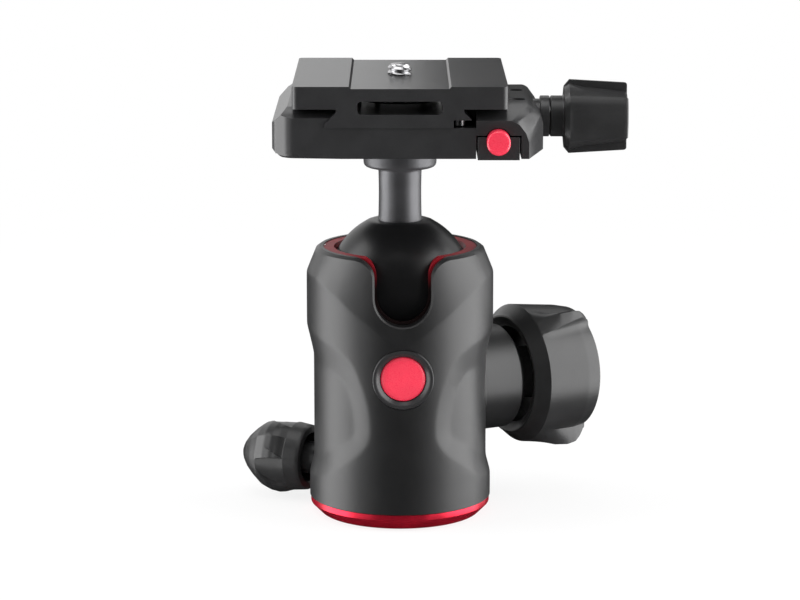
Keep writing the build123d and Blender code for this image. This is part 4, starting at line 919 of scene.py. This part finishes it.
def badge():
    x, y = cos(radians(HOUSING_TURN)), sin(radians(HOUSING_TURN))
    front = axes_at((0, 0, BADGE_HEIGHT), (y, -x, 0), (x, y, 0))
    bezel = turned("badge_bezel_turned", front,
                   [(21.7, 5.95), (21.7, 7.85), (24.15, 7.85), (24.15, 7.0), (23.5, 6.2), (23.3, 5.95)],
                   [0, 0, 0.35, 0.4, 0.2, 0], 128, closed=True)
    dress(bezel, "head_housing", "black_anodised", "badge_bezel")
    disc = turned("badge_disc_domed", front,
                  [(21.7, 0), (21.7, 5.85), (23.25, 5.85), (23.75, 4.6), (23.88, 0)],
                  [0, 0, 0.6, 1.5, 0], 96)
    dress(disc, "head_housing", "red_plastic", "badge_disc")


def button():
    """Release button: the solid's rod and arm under a cap whose edge is rounded."""
    front = axes_at((BUTTON_X, 0, BUTTON_HEIGHT + BUTTON_RISE), (0, -1, 0), (1, 0, 0))
    cap = turned("button_cap", front, [(28.6, 0), (28.6, 2.95), (33.6, 2.95), (33.5, 1.0), (33.5, 0)],
                 [0, 0, 0.8, 0.4, 0], 96)
    rod = frame["nodes"]["release_button"].data.copy()
    middle = Vector((BUTTON_X, 0, BUTTON_HEIGHT)) * MM
    for vertex in rod.vertices:
        if vertex.co.y < ROD_FRONT * MM:
            vertex.co = middle + (vertex.co - middle) * ROD_SHRINK
            vertex.co.y = ROD_FRONT * MM
    piece = joined("release_button_finished", [rod, cap.data])
    bpy.data.objects.remove(cap)
    dress(piece, "button", "red_plastic", "release_button")


# ---------------------------------------------------------------- parts that keep their solid shape

def right_shoulder(middle, way):
    """Edges of the clamp's upper right break, on both its sides and over the release button."""
    at_corner = 30.0 < middle.x < 35.5 and 104.0 < middle.z < 109.6 and 23 < abs(middle.y) < 27
    along_top = 33 < middle.x < 34 and middle.z > 110
    along_side = middle.x > 35.8 and 106 < middle.z < 107.5
    return (at_corner or along_top or along_side) and abs(way.y) > 2 * abs(way.z)


def left_corners(middle, way):
    """Upright edges at the clamp's left corners."""
    return middle.x < -26 and abs(middle.y) > 24 and abs(way.z) > 2 * abs(way.x) + 2 * abs(way.y)


def left_foot(middle, way):
    return middle.x < -26 and middle.z < CLAMP_LOW + 1 and abs(way.z) < 1e-4


# Corners of the clamp's upper breaks, as (solid's corner, place in the finished clamp).
WIDER_BREAKS = [((-30.2, 23.0, 110.6), (-28.4, 23.0, 110.6)),
                ((-31.3, 26.3, 109.5), (-29.9, 27.7, 109.1)),
                ((-32.2, 25.4, 108.6), (-32.2, 25.4, 106.8)),
                ((32.3, 29.6, 104.7), (32.3, 29.6, 103.7))]


def softened_parts():
    body = softened("clamp_body", 0.3, 3, moved=WIDER_BREAKS,
                    deeper=[(right_shoulder, 1.25), (left_corners, 1.6), (left_foot, 1.2)])
    dress(body, "clamp", "black_anodised", "clamp_body")
    for node, body, slot, width in (
            ("plate", "camera_plate", "black_anodised", 0.3),
            ("latch_block", "clamp", "black_anodised", 0.25),
            ("movable_jaw", "jaw", "black_anodised", 0.2),
            ("base_plate", "base", "red_anodised", 0.2),
            ("clamp_bushing", "clamp", "black_anodised", 0.2),
    ):
        dress(softened(node, width), body, slot, node)


THREAD_CORE = 2.6
THREAD_CREST = 3.175
THREAD_FOOT = 114.0
THREAD_PITCH = 1.27


def screws():
    """Camera screw with its thread, and the two screws in the clamp's right block."""
    shaft = frame["nodes"]["camera_screw"].data.copy()
    end = max(vertex.co.z for vertex in shaft.vertices) / MM
    for vertex in shaft.vertices:
        reach = hypot(vertex.co.x, vertex.co.y) / MM
        if vertex.co.z / MM > THREAD_FOOT - 0.2 and reach > THREAD_CORE:
            inward = (THREAD_CORE if reach > THREAD_CREST - 0.1 else THREAD_CORE - 0.3) / reach
            vertex.co.x *= inward
            vertex.co.y *= inward
    half_width = 0.6
    turns = (end - THREAD_FOOT - 2 * half_width) / THREAD_PITCH
    ridge = grown("thread", [(0, 0, THREAD_FOOT + half_width)], thread_tree(),
                  {"Crest Radius": THREAD_CREST, "Ridge Half Width": half_width,
                   "Pitch": THREAD_PITCH, "Turns": turns})
    dress(joined("camera_screw_threaded", [shaft, ridge]), "screw", "steel", "camera_screw")

    places = [(29.9, -9.0, 110.1), (29.9, 9.0, 110.1)]
    pair = grown("block_screw_pair", places, socket_screw_tree(),
                 {"Head Radius": 2.0, "Head Height": 1.5, "Recess Radius": 1.15, "Recess Depth": 0.9,
                  "Shank Radius": 1.3, "Shank Length": 5.0})
    dress(joined("block_screws_socketed", [pair]), "clamp", "steel", "block_screws")


def dress_solids():
    """Solids that show as they are, or lie inside, take their finish directly."""
    for row in frame["record"]["subparts"]:
        paint(frame["nodes"][row["node"]], row["material_slot"])


# ---------------------------------------------------------------- studio

MIDDLE = Vector((0, 0, 0.06))


def panel(name, width, tall, centre, material, facing):
    mesh = bpy.data.meshes.new(name)
    turn = Vector(facing).to_track_quat("Z", "Y").to_matrix()
    signs = ((-1, -1), (1, -1), (1, 1), (-1, 1))
    corners = [Vector((x * width / 2, y * tall / 2, 0)) for x, y in signs]
    mesh.from_pydata([turn @ c + Vector(centre) for c in corners], [], [(0, 1, 2, 3)])
    mesh.materials.append(material)
    thing = new_object(name, mesh)
    return thing


def seen_directly(tree):
    """One where the camera, a reflection or a refraction looks at the background, else zero."""
    paths = add_node(tree, "ShaderNodeLightPath").outputs
    total = paths["Is Camera Ray"]
    for ray in ("Is Glossy Ray", "Is Transmission Ray"):
        total = add_node(tree, "ShaderNodeMath", {0: total, 1: paths[ray]}, operation="MAXIMUM").outputs[0]
    return total


def white_world(level):
    """White where it is seen, and an even grey light on the object that is weaker from below."""
    world = bpy.data.worlds.new("studio")
    bpy.context.scene.world = world
    world.use_nodes = True
    tree = world.node_tree
    grey = spread(tree, height_of(tree, coordinate(tree, "Generated")), (-0.1, 0.1), (0.2 * level, level))
    mixed = colour_mix(tree, grey, (1, 1, 1, 1), seen_directly(tree))
    tree.links.new(mixed, tree.nodes["Background"].inputs["Color"])


def white_floor(reach, shade):
    """White floor that keeps a soft shadow under the object and fades out to plain white."""
    material = bpy.data.materials.new("white_floor")
    material.use_nodes = True
    tree = material.node_tree
    tree.nodes.clear()
    diffuse = add_node(tree, "ShaderNodeBsdfDiffuse", {"Color": (0.85, 0.85, 0.85, 1)})
    glow = add_node(tree, "ShaderNodeEmission", {"Strength": 1.0})
    away = add_node(tree, "ShaderNodeVectorMath", {0: coordinate(tree, "Object")}, operation="LENGTH")
    fade = spread(tree, away.outputs["Value"], (0.08, reach * 0.8), (1 - shade, 1.0))
    mix = add_node(tree, "ShaderNodeMixShader", {"Fac": times(tree, seen_directly(tree), fade),
                                                 1: diffuse.outputs["BSDF"],
                                                 2: glow.outputs["Emission"]})
    add_node(tree, "ShaderNodeOutputMaterial", {"Surface": mix.outputs["Shader"]})
    floor = panel("floor", 2 * reach, 2 * reach, (0, 0, 0), material, (0, 0, 1))
    floor.visible_glossy = False
    floor.visible_shadow = False


def around(bearing, distance, height):
    """Place at a bearing from the front, positive towards +X."""
    return Vector((distance * sin(radians(bearing)), -distance * cos(radians(bearing)), height))


def flag(name, centre, width, tall, cloth, facing=None):
    """Black card that is only seen in reflections."""
    facing = facing or Vector((0, 0, centre.z)) - centre
    card = panel(name, width, tall, centre, cloth, facing)
    card.visible_camera = False
    card.visible_diffuse = False
    card.visible_shadow = False
    card.visible_transmission = False


def softbox(name, place, width, tall, radiance, glare=True):
    data = bpy.data.lights.new(name, "AREA")
    data.shape = "RECTANGLE"
    data.size = width
    data.size_y = tall
    data.energy = radiance * pi * width * tall
    thing = new_object(name, data)
    thing.location = place
    thing.rotation_euler = (MIDDLE - place).to_track_quat("-Z", "Y").to_euler()
    thing.visible_glossy = glare
    thing.visible_camera = False


def camera():
    data = bpy.data.cameras.new("camera")
    data.lens = 136.6
    data.sensor_width = 36
    thing = new_object("camera", data)
    thing.location = (0, -0.7805, 0.2151)
    thing.rotation_euler = (radians(78.5), 0, 0)
    bpy.context.scene.camera = thing


def studio():
    bpy.context.scene.view_settings.view_transform = "Standard"
    white_world(0.55)
    white_floor(0.6, 0.16)
    cloth = finish("flag_cloth", (0.004, 0.004, 0.004), 0.9, specular=0.0)
    flag("flag_front", around(0, 0.9, 0.0), 1.3, 2.2, cloth)
    flag("flag_back_left", around(-151, 0.75, -0.45), 0.8, 1.0, cloth)
    flag("flag_back_right", around(161, 0.75, -0.45), 0.58, 1.0, cloth)
    flag("flag_back_high", around(163, 0.84, 0.24), 0.5, 0.46, cloth)
    flag("flag_left_high", around(-57, 0.6, 0.56), 0.36, 0.34, cloth)
    flag("flag_above", Vector((0, 0.1, 1.05)), 1.8, 1.6, cloth, facing=Vector((0, 0, -1)))
    flag("flag_under", Vector((0.03, 0, -0.06)), 0.36, 0.34, cloth, facing=Vector((0, 0, 1)))
    softbox("side_left", around(-89, 0.7, 0.1), 0.62, 1.5, 3.6)
    softbox("side_right", around(86, 0.7, 0.1), 0.8, 1.5, 3.6)
    softbox("overhead", Vector((-0.1, -0.08, 0.95)), 0.8, 0.6, 2.2)
    softbox("front_fill", Vector((0, -1.1, 0.7)), 0.7, 0.5, 1.2, glare=False)
    camera()


studio()
dress_solids()
housing()
ball()
stem()
lock_knob()
pan_knob()
clamp_knob()
badge()
softened_parts()
button()
screws()
